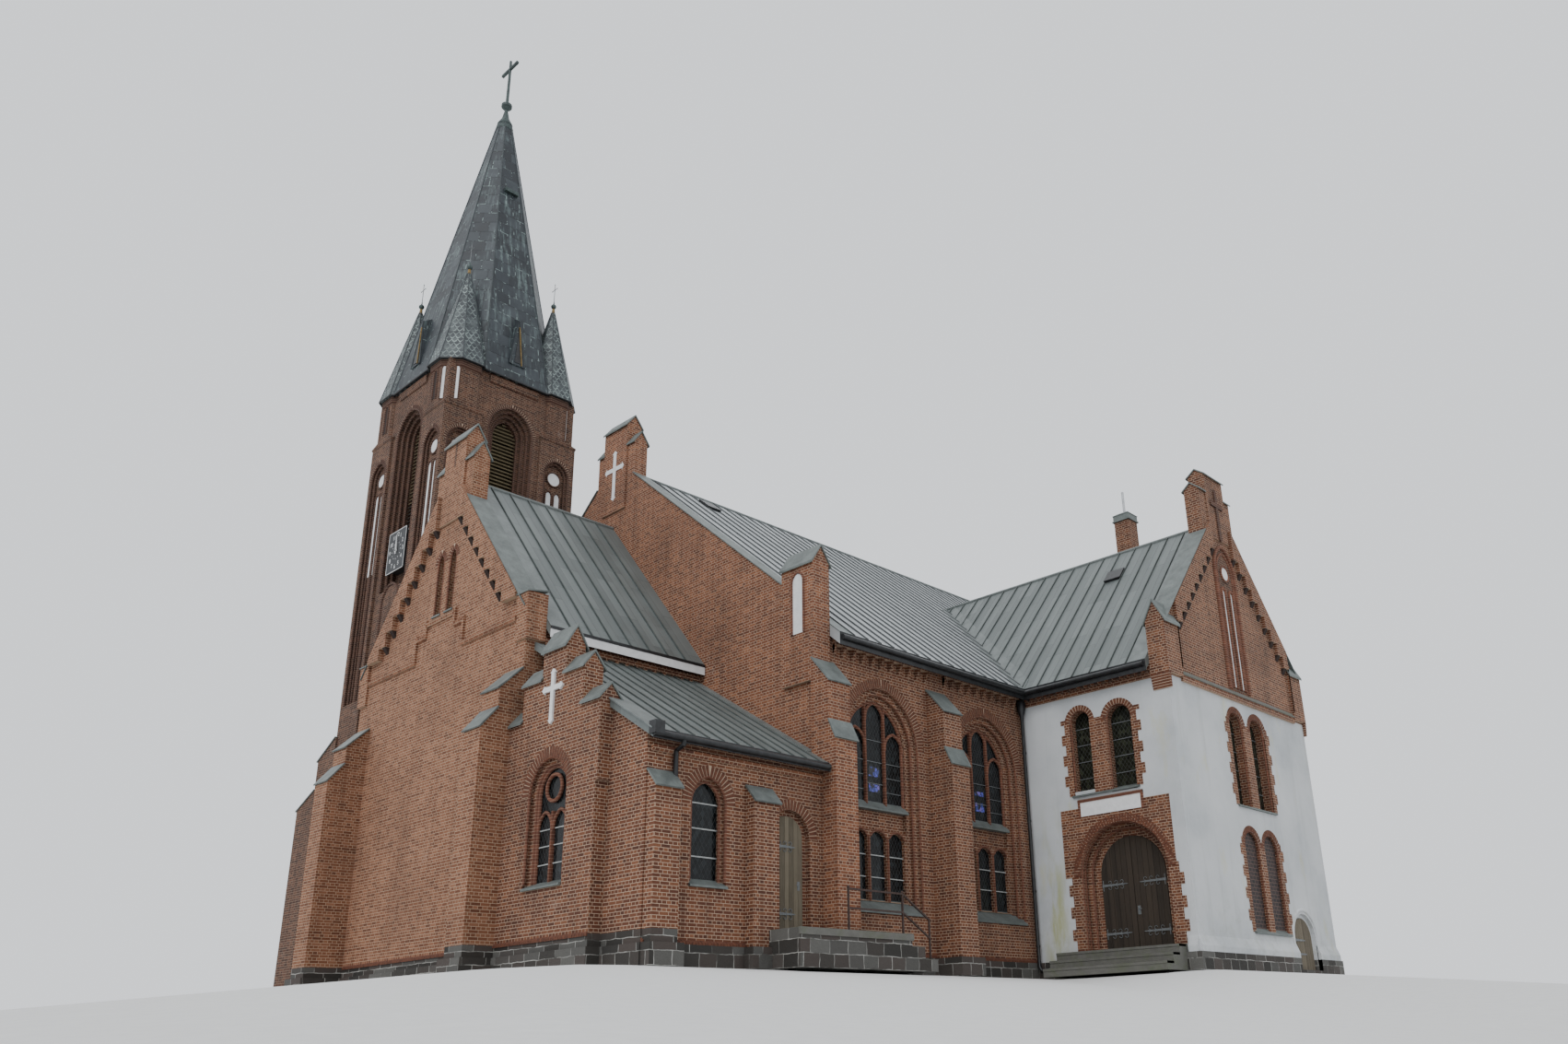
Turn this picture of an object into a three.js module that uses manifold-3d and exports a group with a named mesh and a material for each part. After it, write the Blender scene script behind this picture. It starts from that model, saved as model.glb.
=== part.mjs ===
// Brick church with a corner tower, a lower chancel, a lean-to sacristy and two plastered transepts.
// Millimetres, +Z up. While the parts are made, X runs west along the nave from its east gable,
// Y runs north from the nave's centre line, and Z = 0 is the lowest ground. At the end the whole
// church is moved so that its origin is the middle of its footprint, at the lowest ground.
import * as THREE from 'three';
import { mergeVertices } from 'three/addons/utils/BufferGeometryUtils.js';
import Module from 'manifold-3d';

const wasm = await Module();
wasm.setup();

// Common sizes
const CLEAR = 0.3;            // gap left where a slanted face rests on its neighbour
const GLASS = 30;             // thickness of a leaded glass sheet
const FOOT = 450;             // top of the granite plinth, where the brickwork starts
const FLOOR = 650;            // church floor, level with the big door's threshold
const PROUD = 100;            // how far the plinth stands proud of the walls
const ARC = 7;                // straight pieces in half an arch
const ROOT = 20;              // how deep a piece reaches into the wall that it is one with
const FAR = 40000;            // beyond everything, for the ends of cuts

// The nave, with its two gables of the same form
const NAVE = {
  half: 8960, west: 25850, wall: 600, gable: 490, ridge: 16120, slope: 0.8374, slab: 320, eave: 390,
  wallTop: 9500,
};
const NAVE_GABLE = {
  rise: 16381, slope: 0.84, pier: 600, pierEave: 17450, cap: 350, shoulder: 950, shoulderEave: 16750,
  pierFoot: 14500, proud: 60,
};
const CORNER_PIER = { inner: 7850, outer: 9000, foot: 7000, eave: 10200, cap: 450, proud: 110 };
const GABLE_BUTTRESS = { proud: 150, side: 750 };
const BAY_BUTTRESS_HALF = 375;
const BUTTRESS = { upper: 590, lower: 790, upperCap: 7550, upperDrop: 680, lowerCap: 5850, lowerDrop: 440 };
const BAY_CENTRES = [2420, 6830];
const BAY = { half: 1400, foot: 1500, spring: 5750, lean: 104, order: 150, depth: 120 };
const BAY_GLASS = { half: 940, sill: 4200, lowSill: 1780, lowHead: 3550, top: 7100 };
const WEST_WINDOW = { centre: 0, half: 1250, sill: 4200, spring: 8200, lean: 200, order: 150, depth: 110 };
const WEST_SIDE_WINDOW = { ...WEST_WINDOW, half: 900, spring: 6300, lean: 104 };
const WEST_SIDE_CENTRE = 4600;
const WEST_GLASS_TOP = 9600;

// The transepts, which cross the nave
const WING = {
  east: 8650, west: 17200, gableFace: 13970, gableInner: 13000, parapet: 490, doorWall: 950, wall: 600,
  wallTop: 9500,
};
const WING_ROOF = { ridge: 13650, slope: 1.174, slab: 320, eave: 300 };
const WING_GABLE = {
  low: 9320, slope: 1.15, pier: 600, pierEave: 15150, cap: 200, shoulder: 1000, shoulderEave: 14550,
  pierFoot: 13000, proud: 40,
};
const WING_GLASS = {
  sill: 4520, top: 7500, lowSill: 1010, lowEast: 11900, lowWest: 14300,
  sideEnd: -10580, sideSill: 4760, sideTop: 7450,
};
const KNEELER = { side: 800, foot: 7850, eave: 9400, cap: 550, step: 90 };
const DOOR = { south: -13010, north: -10970, spring: 2660, orders: 3, order: 200, depth: 150, sill: FLOOR };
const LEAF = { thick: 90, clear: 12, gap: 14, inset: 480 };
const SMALL_DOOR = {
  east: 14500, west: 15700, sill: 130, spring: 1020, thick: 70, inset: 110, order: 110, clear: 8,
};
const DOOR_STEPS = { treads: 3, going: 340, south: -13640, north: -9900, drop: 5 };

// Hinges: the pin stands in front of a leaf's outer face, the fixed half under the moving one
const HINGE = {
  radius: 11.7, ahead: 12, plate: 9, fixedLength: 100, strap: 420, height: 60, sunk: 20, sides: 12,
};
const BIG_DOOR_HINGES = [1050, 2350];
const SACRISTY_DOOR_HINGES = [1200, 2700];
const GABLE_DOOR_HINGES = [560, 950];

// The chancel
const CHANCEL = { east: -5400, half: 4360, wall: 600, ridge: 13950, slope: 1.2, slab: 250, eave: 300 };
const CHANCEL_GABLE = {
  rise: 14200, slope: 1.23, pier: 575, pierEave: 15020, cap: 410, shoulder: 970, shoulderEave: 14320,
  pierFoot: 12500, proud: 60,
};
const CHANCEL_KNEELER = { inner: 3960, outer: 4460, foot: 8000, eave: 8890, cap: 300 };
const CHANCEL_ARCH = { half: 3200, spring: 4800, lean: 600 };
const CHANCEL_BUTTRESS = {
  upper: 600, lower: 1000, upperCap: 7250, upperDrop: 600, lowerCap: 6150, lowerDrop: 500, side: 760,
};
const LANCET = { centre: 330, half: 170, sill: 9850, spring: 11350, lean: 120 };

// The sacristy, a lean-to in the corner of chancel and nave
const SAC = {
  front: -5640, setBack: -5300, south: -9270, wall: 500, ridge: 7890, slope: 0.614, top: 4470,
  eave: 310, slab: 190,
  wallTop: 6500, frontTop: 5600,
};
const SAC_STEPS = [
  { half: 470, eave: 7320, ridge: 7750 },
  { half: 1220, eave: 6630, ridge: 6950 },
  { half: 1980, eave: 5750, ridge: 6050 },
];
const SAC_CENTRE = -6100;
const SAC_FRONT_END = -7950;
const SAC_PARAPET_END = -8010;
const SAC_FLOOR = 810;
const SAC_WINDOW = { centre: -6125, half: 760, sill: 1850, spring: 3900, lean: 40, order: 130, depth: 130 };
const SAC_SIDE_WINDOW = {
  centre: -3600, half: 500, sill: 1670, spring: 3430, lean: 100, order: 100, depth: 120,
};
const SAC_DOOR = { east: -1690, west: -690, spring: 2950, order: 120, depth: 140, thick: 60, clear: 10 };
const SAC_BUTTRESS = { out: 290, cap: 3950, drop: 330 };
const LANDING = { east: -2100, west: 1500, front: -10520, top: 805, riser: 270, going: 450, steps: 2 };
const RAIL = { bar: 40, height: 930, y: -10480, posts: [-570, 1240], drops: [0, 420] };

// The tower, the spire and its cross
const TOWER = {
  x: -1200, y: 7100, half: 2450, wall: 700, pierInner: 1150, pierOuter: 2540, turret: 1740,
  turretHalf: 800, string: 18950, eave: 20690,
};
const BELFRY = {
  half: 850, sill: 15300, eastSill: 13000, spring: 18650, lean: 150, order: 120, depth: 130,
};
const PIER_ARCH = {
  half: 500, eastSill: 9400, sill: 13950, spring: 17610, lean: 90, order: 80, depth: 90,
};
const TOWER_FILLING_TOP = 8000;
const LOUVRES = {
  corner: 445, thick: 60, low: 15100, high: 19900, first: 15400, pitch: 240, slot: 110, slotHalf: 415,
};
const TOWER_BUTTRESS = {
  width: 800, upper: 1150, lower: 2330, upperCap: 8390, upperDrop: 620, lowerCap: 6800, lowerDrop: 520,
  proud: 150,
};
const SPIRE = {
  face: 2600, corner: 1250, neck: 250, neckZ: 33450, turretR: 960, turretApex: 24700, tip: 60, shell: 500,
  hollowNeck: 100, hollowTop: 30450,
};
const CROSS = {
  foot: 33450, ball: 34450, ballR: 210, neckR: 60, rod: 50, top: 36760, arm: 570, armZ: 36350,
};
const CLOCK = {
  wide: 1180, tall: 1480, z: 14330, thick: 50, arbor: 30, hand: 14, gap: 8, proud: 20,
  backHalf: 480, edge: 100, sides: 24,
};
const MINUTE_HAND = { length: 560, tail: 120, wide: 30, boss: 30 };
const HOUR_HAND = { length: 380, tail: 110, wide: 38, boss: 30 };

const CHIMNEY = { east: 14000, side: 560, south: -10300, top: 15550 };

function solid(geometry) {
  const plain = geometry.toNonIndexed ? geometry.clone() : geometry;
  for (const name of Object.keys(plain.attributes)) {
    if (name !== 'position') plain.deleteAttribute(name);
  }
  const merged = mergeVertices(plain, 1e-3);
  return new wasm.Manifold(new wasm.Mesh({
    numProp: 3,
    vertProperties: new Float32Array(merged.attributes.position.array),
    triVerts: new Uint32Array(merged.index.array),
  }));
}

function block(x0, x1, y0, y1, z0, z1) {
  const box = new THREE.BoxGeometry(x1 - x0, y1 - y0, z1 - z0);
  box.translate((x0 + x1) / 2, (y0 + y1) / 2, (z0 + z1) / 2);
  return solid(box);
}

// A flat outline drawn out along one axis: x takes (y, z) points, y takes (x, z), z takes (x, y).
function prism(axis, points, from, to) {
  const shape = new THREE.Shape(points.map(([u, v]) => new THREE.Vector2(u, v)));
  const body = new THREE.ExtrudeGeometry(shape, { depth: to - from, bevelEnabled: false });
  if (axis === 'z') body.translate(0, 0, from);
  if (axis === 'y') {
    body.rotateX(Math.PI / 2);
    body.translate(0, to, 0);
  }
  if (axis === 'x') {
    body.applyMatrix4(new THREE.Matrix4().set(0, 0, 1, from, 1, 0, 0, 0, 0, 1, 0, 0, 0, 0, 0, 1));
  }
  return solid(body);
}

function sorted(a, b) {
  return a < b ? [a, b] : [b, a];
}

function joined(...parts) {
  return parts.flat().reduce((whole, part) => whole.add(part));
}

function without(body, ...cutters) {
  return cutters.flat().reduce((rest, cutter) => rest.subtract(cutter), body);
}

// An opening's outline: straight jambs and two arcs that meet at a point. Each arc's centre lies
// the lean beyond the middle, so no lean makes a round arch.
function archOutline(centre, half, sill, spring, lean) {
  const radius = half + lean;
  const end = Math.acos(lean / radius);
  const right = [];
  const left = [];
  for (let i = 0; i <= ARC; i += 1) {
    const angle = (end * i) / ARC;
    const across = radius * Math.cos(angle) - lean;
    const up = spring + radius * Math.sin(angle);
    right.push([centre + across, up]);
    if (i < ARC) left.unshift([centre - across, up]);
  }
  return [[centre - half, sill], [centre + half, sill], ...right, ...left];
}

function windowHole(axis, w, from, to) {
  return prism(axis, archOutline(w.centre, w.half, w.sill, w.spring, w.lean), from, to);
}

// Recesses that step inward from a wall face: each order is one step narrower and deeper.
// The step goes in the direction given, +1 or -1 along the axis.
function steppedArch(axis, opening, orders, face, direction) {
  const cutters = [];
  for (let i = 0; i < orders; i += 1) {
    const half = opening.half - i * opening.order;
    const outline = archOutline(opening.centre, half, opening.sill, opening.spring, opening.lean);
    const deep = face + direction * opening.depth * (i + 1);
    cutters.push(prism(axis, outline, ...sorted(face - direction * 400, deep)));
  }
  return cutters;
}

// A gable wall's outline in its own plane, symmetric about the middle.
function gableOutline(middle, half, foot, gable) {
  const low = gable.rise - gable.slope * half;
  return [
    [middle - half, foot], [middle + half, foot],
    [middle + half, low], [middle, gable.rise], [middle - half, low],
  ];
}

// A block whose top is a little roof, with its ridge along the wall.
function saddle(axis, u0, u1, w0, w1, foot, eave, cap) {
  const outline = [[w0, foot], [w1, foot], [w1, eave], [(w0 + w1) / 2, eave + cap], [w0, eave]];
  return prism(axis === 'x' ? 'y' : 'x', outline, u0, u1);
}

// A buttress in two stages with sloping caps. It stands out from the wall along its axis.
function buttress(axis, from, to, face, direction, foot, form) {
  const out = (distance) => face + direction * distance;
  const root = out(-ROOT);
  const profile = [
    [root, foot], [out(form.lower), foot], [out(form.lower), form.lowerCap - form.lowerDrop],
    [out(form.upper), form.lowerCap], [out(form.upper), form.upperCap - form.upperDrop],
    [root, form.upperCap],
  ];
  if (direction < 0) profile.reverse();
  return prism(axis, profile, from, to);
}

// Strap hinges at several heights. The corner is the leaf's outer edge at the hinge side, and the
// leaf lies along the given axis from it. The fixed halves are one with the wall beside the leaf,
// and the moving halves with the leaf.
function hinges([x, y], along, direction, clear, heights) {
  const h = HINGE;
  const pin = along === 'y' ? [x - h.ahead, y] : [x, y - h.ahead];
  const across = (near, far, z0, z1, u0, u1) => {
    const run = sorted((along === 'y' ? y : x) + direction * u0, (along === 'y' ? y : x) + direction * u1);
    if (along === 'y') return block(x - near, x - far, ...run, z0, z1);
    return block(...run, y - near, y - far, z0, z1);
  };
  const round = [];
  for (let i = 0; i < h.sides; i += 1) {
    const angle = (2 * Math.PI * (i + 0.5)) / h.sides;
    round.push([pin[0] + h.radius * Math.cos(angle), pin[1] + h.radius * Math.sin(angle)]);
  }
  const fixed = heights.map((z) => joined(
    prism('z', round, z - h.height, z),
    across(h.plate + 1, 1, z - h.height, z, -h.fixedLength, -2),
    across(h.plate + 1, -h.sunk, z - h.height, z, -h.fixedLength, -clear - 1),
  ));
  const moving = heights.map((z) => joined(
    prism('z', round, z + CLEAR, z + h.height),
    across(h.plate + 1, -h.sunk, z + CLEAR, z + h.height, 2, h.strap),
  ));
  return { fixed, moving };
}

// Nave

const naveUnder = (y) => NAVE.ridge - NAVE.slab - CLEAR - NAVE.slope * Math.abs(y);

// Everything above the underside of the nave's roof, out to a distance from its middle.
function aboveNave(wide, from, to) {
  return prism('x', [
    [-wide, naveUnder(wide)], [0, naveUnder(0)], [wide, naveUnder(wide)], [wide, FAR], [-wide, FAR],
  ], from, to);
}

function octagon(x, y, apothem) {
  const points = [];
  const radius = apothem / Math.cos(Math.PI / 8);
  for (let i = 0; i < 8; i += 1) {
    const angle = (Math.PI / 4) * (i + 0.5);
    points.push([x + radius * Math.cos(angle), y + radius * Math.sin(angle)]);
  }
  return points;
}

const CORNERS = [[-1, -1], [1, -1], [1, 1], [-1, 1]];
const turretCentre = ([sx, sy]) => [TOWER.x + sx * TOWER.turret, TOWER.y + sy * TOWER.turret];

function cornerPier([sx, sy], grown, from, to) {
  const near = TOWER.pierInner - grown;
  const far = TOWER.pierOuter + grown;
  const alongX = sorted(TOWER.x + sx * near, TOWER.x + sx * far);
  const alongY = sorted(TOWER.y + sy * near, TOWER.y + sy * far);
  return block(...alongX, ...alongY, from, to);
}

// The corner piers, and above the string course the octagonal turrets, grown by a gap.
function turretShafts(grown, from, to) {
  const pierTop = Math.min(to, TOWER.string + grown);
  const shafts = CORNERS.map((corner) => cornerPier(corner, grown, from, pierTop));
  if (to <= TOWER.string) return shafts;
  const upper = CORNERS.map((corner) => {
    const outline = octagon(...turretCentre(corner), TOWER.turretHalf + grown);
    return prism('z', outline, TOWER.string - ROOT - grown, to);
  });
  return [...shafts, ...upper];
}

const TOWER_E = TOWER.x - TOWER.half;
const TOWER_W = TOWER.x + TOWER.half;
const TOWER_S = TOWER.y - TOWER.half;
const TOWER_N = TOWER.y + TOWER.half;

// Everything inside the tower's outline, with its turrets, grown by the working gap.
const TOWER_CUT = joined(
  block(TOWER_E - CLEAR, TOWER_W + CLEAR, TOWER_S - CLEAR, TOWER_N + CLEAR, -ROOT, FAR),
  turretShafts(CLEAR, -ROOT, FAR),
);

function naveGable(inner, outer, direction) {
  const g = NAVE_GABLE;
  const corner = CORNER_PIER;
  const wallX = sorted(inner, outer);
  const pierX = sorted(inner, outer + direction * g.proud);
  const cornerX = sorted(inner, outer + direction * corner.proud);
  const edge = outer + direction * GABLE_BUTTRESS.proud;
  const buttressX = sorted(edge, edge - direction * GABLE_BUTTRESS.side);
  const parts = [
    prism('x', gableOutline(0, NAVE.half, FOOT, g), ...wallX),
    saddle('x', -g.pier, g.pier, ...pierX, g.pierFoot, g.pierEave, g.cap),
    saddle('x', -g.shoulder, g.shoulder, ...wallX, g.pierFoot, g.shoulderEave, g.cap),
  ];
  for (const side of [-1, 1]) {
    const ends = sorted(side * corner.inner, side * corner.outer);
    parts.push(saddle('x', ...ends, ...cornerX, corner.foot, corner.eave, corner.cap));
    parts.push(buttress('x', ...buttressX, side * NAVE.half, side, FOOT, BUTTRESS));
  }
  return joined(parts);
}

function bayCutters(centre, face, direction) {
  const bay = { ...BAY, centre, sill: BAY.foot };
  const through = sorted(face, face + direction * 2 * NAVE.wall);
  const g = BAY_GLASS;
  return [
    ...steppedArch('y', bay, 3, face, direction),
    prism('y', archOutline(centre, g.half, g.sill, BAY.spring, BAY.lean), ...through),
    block(centre - g.half, centre + g.half, ...through, g.lowSill, g.lowHead),
  ];
}

function naveSideWall(from, to, side, bays) {
  const outer = side * NAVE.half;
  const ends = sorted(side * (NAVE.half - NAVE.wall), outer);
  const between = (bays[0] + bays[1]) / 2;
  const half = BAY_BUTTRESS_HALF;
  const wall = joined(
    block(from, to, ...ends, FOOT, NAVE.wallTop),
    buttress('x', between - half, between + half, outer, side, FOOT, BUTTRESS),
  );
  const cutters = bays.flatMap((centre) => bayCutters(centre, outer, -side));
  return without(wall, aboveNave(FAR, from - ROOT, to + ROOT), cutters);
}

function roofSlope(axis, middle, roof, reach, side, from, to) {
  const edge = middle + side * reach;
  const low = roof.ridge - roof.slope * reach;
  const profile = [
    [middle, roof.ridge - roof.slab], [edge, low - roof.slab], [edge, low], [middle, roof.ridge],
  ];
  if (side < 0) profile.reverse();
  return prism(axis, profile, from, to);
}

// A wall that runs under the nave's eaves ends below them.
const NAVE_EAVES_CUT = aboveNave(NAVE.half + NAVE.eave + CLEAR, -ROOT, NAVE.west + ROOT);
const WEST_BAYS = BAY_CENTRES.map((centre) => NAVE.west - centre).reverse();
const naveEastGable = without(
  naveGable(NAVE.gable, 0, -1),
  TOWER_CUT,
  block(-FAR, FAR, TOWER.y, FAR, -ROOT, FAR),
  prism(
    'x',
    archOutline(0, CHANCEL_ARCH.half, FOOT - ROOT, CHANCEL_ARCH.spring, CHANCEL_ARCH.lean),
    -ROOT,
    NAVE.gable + ROOT,
  ),
);

function westWindows() {
  const low = WEST_SIDE_WINDOW;
  const openings = [
    WEST_WINDOW,
    { ...low, centre: -WEST_SIDE_CENTRE },
    { ...low, centre: WEST_SIDE_CENTRE },
  ];
  return openings.flatMap((opening) => {
    const half = opening.half - 2 * opening.order;
    const outline = archOutline(opening.centre, half, opening.sill, opening.spring, opening.lean);
    return [
      ...steppedArch('x', opening, 2, NAVE.west, -1),
      prism('x', outline, NAVE.west - 2 * NAVE.gable, NAVE.west + ROOT),
    ];
  });
}

const naveWestGable = without(naveGable(NAVE.west - NAVE.gable, NAVE.west, 1), westWindows());

const eastWall = (side) => naveSideWall(NAVE.gable, WING.east, side, BAY_CENTRES);
const westWall = (side) => naveSideWall(WING.west, NAVE.west - NAVE.gable, side, WEST_BAYS);
const naveSouthEastWall = without(eastWall(-1), naveEastGable);
const naveNorthEastWall = without(eastWall(1), TOWER_CUT);
const naveSouthWestWall = without(westWall(-1), naveWestGable);
const naveNorthWestWall = without(westWall(1), naveWestGable);
const naveRoof = [-1, 1].map((side) => without(
  roofSlope('x', 0, NAVE, NAVE.half + NAVE.eave, side, NAVE.gable, NAVE.west - NAVE.gable),
  TOWER_CUT,
));

// Transepts, made on the south side and turned over for the north

const WING_MIDDLE = (WING.east + WING.west) / 2;
const WING_UNDER_RIDGE = WING_ROOF.ridge - WING_ROOF.slab - CLEAR;
const wingUnder = (x) => WING_UNDER_RIDGE - WING_ROOF.slope * Math.abs(x - WING_MIDDLE);

// Everything above the underside of a transept's roof.
function aboveWing(from, to) {
  const east = WING_MIDDLE - WING.west;
  const west = WING_MIDDLE + WING.west;
  return prism('y', [
    [east, wingUnder(east)], [WING_MIDDLE, wingUnder(WING_MIDDLE)], [west, wingUnder(west)],
    [west, FAR], [east, FAR],
  ], from, to);
}

const WING_HALF = (WING.west - WING.east) / 2;
const WING_RISE = WING_GABLE.low + WING_GABLE.slope * WING_HALF;

const GABLE_WINDOWS = [
  { centre: 12385, half: 425, sill: 4600, spring: 6950, lean: 0 },
  { centre: 13720, half: 480, sill: 4600, spring: 6900, lean: 0 },
  { centre: 12400, half: 450, sill: 1090, spring: 3420, lean: 0 },
  { centre: 13600, half: 450, sill: 1090, spring: 3420, lean: 0 },
];
const SIDE_WINDOWS = [
  { centre: -11000, half: 335, sill: 5020, spring: 7015, lean: 0 },
  { centre: -12270, half: 405, sill: 4850, spring: 6895, lean: 0 },
];

function wingGable(withDoor) {
  const outline = [
    [WING.east, FOOT], [WING.west, FOOT], [WING.west, WING_GABLE.low],
    [WING_MIDDLE, WING_RISE], [WING.east, WING_GABLE.low],
  ];
  const face = -WING.gableFace;
  const back = face + WING.parapet;
  const g = WING_GABLE;
  const k = KNEELER;
  const mid = WING_MIDDLE;
  const parts = [
    prism('y', outline, face, back),
    without(prism('y', outline, back, -WING.gableInner), aboveWing(back, 0)),
    saddle('y', mid - g.pier, mid + g.pier, face - g.proud, back, g.pierFoot, g.pierEave, g.cap),
    saddle('y', mid - g.shoulder, mid + g.shoulder, face, back, g.pierFoot, g.shoulderEave, g.cap),
  ];
  for (const x of [WING.east - k.step, WING.west + k.step - k.side]) {
    parts.push(saddle('y', x, x + k.side, face - k.step, back, k.foot, k.eave, k.cap));
  }
  const cutters = GABLE_WINDOWS.map((w) => windowHole('y', w, face - ROOT, 0));
  if (withDoor) cutters.push(...smallDoorCutters(0));
  return without(joined(parts), cutters);
}

const smallDoorCentre = (SMALL_DOOR.east + SMALL_DOOR.west) / 2;
const smallDoorHalf = (SMALL_DOOR.west - SMALL_DOOR.east) / 2;

function smallDoorCutters(sill) {
  const d = SMALL_DOOR;
  const reveal = -WING.gableFace + d.inset;
  const inner = archOutline(smallDoorCentre, smallDoorHalf, sill, d.spring, 0);
  const outer = archOutline(smallDoorCentre, smallDoorHalf + d.order, sill, d.spring, 0);
  return [
    prism('y', inner, reveal - ROOT, -WING.gableInner),
    prism('y', outer, -WING.gableFace - 2 * PROUD, reveal),
  ];
}

// The big doorway steps inward in orders from the face of the wall.
const DOOR_CENTRE = (DOOR.south + DOOR.north) / 2;
const DOOR_HALF = (DOOR.north - DOOR.south) / 2;

function bigDoorCutters() {
  const d = DOOR;
  const opening = archOutline(DOOR_CENTRE, DOOR_HALF, FOOT - ROOT, d.spring, 0);
  const cutters = [prism('x', opening, WING.east - ROOT, WING.east + WING.doorWall + ROOT)];
  for (let i = 1; i <= d.orders; i += 1) {
    const outline = archOutline(DOOR_CENTRE, DOOR_HALF + i * d.order, d.sill, d.spring, 0);
    cutters.push(prism('x', outline, WING.east - PROUD, leafFace - (i - 1) * d.depth));
  }
  return cutters;
}

const leafFace = WING.east + LEAF.inset;
const doorWallX = [WING.east, WING.east + WING.doorWall];
const BIG_DOOR_CUT = bigDoorCutters();
const [southHinges, northHinges] = [-1, 1].map((side) => hinges(
  [leafFace, DOOR_CENTRE + side * (DOOR_HALF - LEAF.clear)],
  'y',
  -side,
  LEAF.clear,
  BIG_DOOR_HINGES,
));
const doorPierWall = joined(
  without(block(...doorWallX, DOOR.north, -NAVE.half, FOOT, DOOR.spring), BIG_DOOR_CUT),
  northHinges.fixed,
);
const doorUpperWall = without(
  block(...doorWallX, -WING.gableInner, -NAVE.half, DOOR.spring, WING.wallTop),
  BIG_DOOR_CUT,
  SIDE_WINDOWS.map((w) => windowHole('x', w, WING.east - ROOT, doorWallX[1] + ROOT)),
  aboveWing(-FAR, 0),
  NAVE_EAVES_CUT,
);

const smallHinges = hinges(
  [SMALL_DOOR.east + SMALL_DOOR.clear, -WING.gableFace + SMALL_DOOR.inset],
  'x',
  1,
  SMALL_DOOR.clear,
  GABLE_DOOR_HINGES,
);
const southGable = joined(without(wingGable(true), BIG_DOOR_CUT), southHinges.fixed, smallHinges.fixed);

function wingSideWall(x0, x1) {
  const wall = block(x0, x1, -WING.gableInner, -NAVE.half, FOOT, WING.wallTop);
  const windows = SIDE_WINDOWS.map((w) => windowHole('x', w, x0 - ROOT, x1 + ROOT));
  return without(wall, windows, aboveWing(-FAR, 0), NAVE_EAVES_CUT);
}

const wingWestWall = wingSideWall(WING.west - WING.wall, WING.west);
const wingEastPlainWall = wingSideWall(WING.east, WING.east + WING.wall);

// What lies under the nave's roof, so that a transept slope ends on it.
function naveRoofCutter() {
  const top = (y) => NAVE.ridge + CLEAR - NAVE.slope * Math.abs(y);
  const wide = NAVE.half + NAVE.eave;
  const outline = [[-wide, 0], [wide, 0], [wide, top(wide)], [0, top(0)], [-wide, top(wide)]];
  return prism('x', outline, -ROOT, NAVE.west + ROOT);
}

const NAVE_ROOF_CUT = naveRoofCutter();
const wingRoof = [-1, 1].map((side) => {
  const from = -WING.gableFace + WING.parapet + CLEAR;
  const slope = roofSlope('y', WING_MIDDLE, WING_ROOF, WING_HALF + WING_ROOF.eave, side, from, 0);
  return without(slope, NAVE_ROOF_CUT);
});

function mirrored(part) {
  return part.scale([1, -1, 1]);
}

// Doors

function bigLeaf(side, hinge) {
  const half = DOOR_HALF - LEAF.clear;
  const outline = archOutline(DOOR_CENTRE, half, DOOR.sill + LEAF.clear, DOOR.spring, 0);
  const whole = prism('x', outline, leafFace, leafFace + LEAF.thick);
  const ends = sorted(DOOR_CENTRE + (side * LEAF.gap) / 2, side * FAR);
  return joined(whole.intersect(block(0, FAR, ...ends, 0, FAR)), hinge.moving);
}

function smallDoorLeaf() {
  const d = SMALL_DOOR;
  const face = -WING.gableFace + d.inset;
  const outline = archOutline(smallDoorCentre, smallDoorHalf - d.clear, d.sill + d.clear, d.spring, 0);
  return joined(prism('y', outline, face, face + d.thick), smallHinges.moving);
}

function doorSteps() {
  const s = DOOR_STEPS;
  const rise = FLOOR / s.treads;
  const parts = [];
  for (let i = 0; i < s.treads; i += 1) {
    const out = WING.east - PROUD - (s.treads - i) * s.going;
    parts.push(block(out, WING.east, s.south, s.north, 0, rise * (i + 1) - s.drop));
  }
  return joined(parts);
}

// Chancel

const chancelUnder = (y) => CHANCEL.ridge - CHANCEL.slab - CLEAR - CHANCEL.slope * Math.abs(y);

// Everything above the underside of the chancel's roof.
function aboveChancel(from, to) {
  const wide = NAVE.half;
  return prism('x', [
    [-wide, chancelUnder(wide)], [0, chancelUnder(0)], [wide, chancelUnder(wide)],
    [wide, FAR], [-wide, FAR],
  ], from, to);
}

function chancelGable() {
  const g = CHANCEL_GABLE;
  const k = CHANCEL_KNEELER;
  const x0 = CHANCEL.east;
  const x1 = CHANCEL.east + NAVE.gable;
  const parts = [
    prism('x', gableOutline(0, CHANCEL.half, FOOT, g), x0, x1),
    saddle('x', -g.pier, g.pier, x0 - g.proud, x1, g.pierFoot, g.pierEave, g.cap),
    saddle('x', -g.shoulder, g.shoulder, x0, x1, g.pierFoot, g.shoulderEave, g.cap),
  ];
  for (const side of [-1, 1]) {
    const ends = sorted(side * k.inner, side * k.outer);
    parts.push(saddle('x', ...ends, x0 - g.proud, x1, k.foot, k.eave, k.cap));
    const corner = sorted(side * CHANCEL.half, side * (CHANCEL.half - CHANCEL_BUTTRESS.side));
    parts.push(buttress('y', ...corner, CHANCEL.east, -1, FOOT, CHANCEL_BUTTRESS));
  }
  const lancets = [-1, 1].map((side) => windowHole(
    'x',
    { ...LANCET, centre: side * LANCET.centre },
    x0 - ROOT,
    x1 + ROOT,
  ));
  return without(joined(parts), lancets);
}

function chancelSideWall(side) {
  const ends = sorted(side * CHANCEL.half, side * (CHANCEL.half - CHANCEL.wall));
  const wall = block(CHANCEL.east + NAVE.gable, 0, ...ends, FOOT, NAVE.wallTop);
  return without(wall, aboveChancel(-FAR, ROOT));
}

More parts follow.
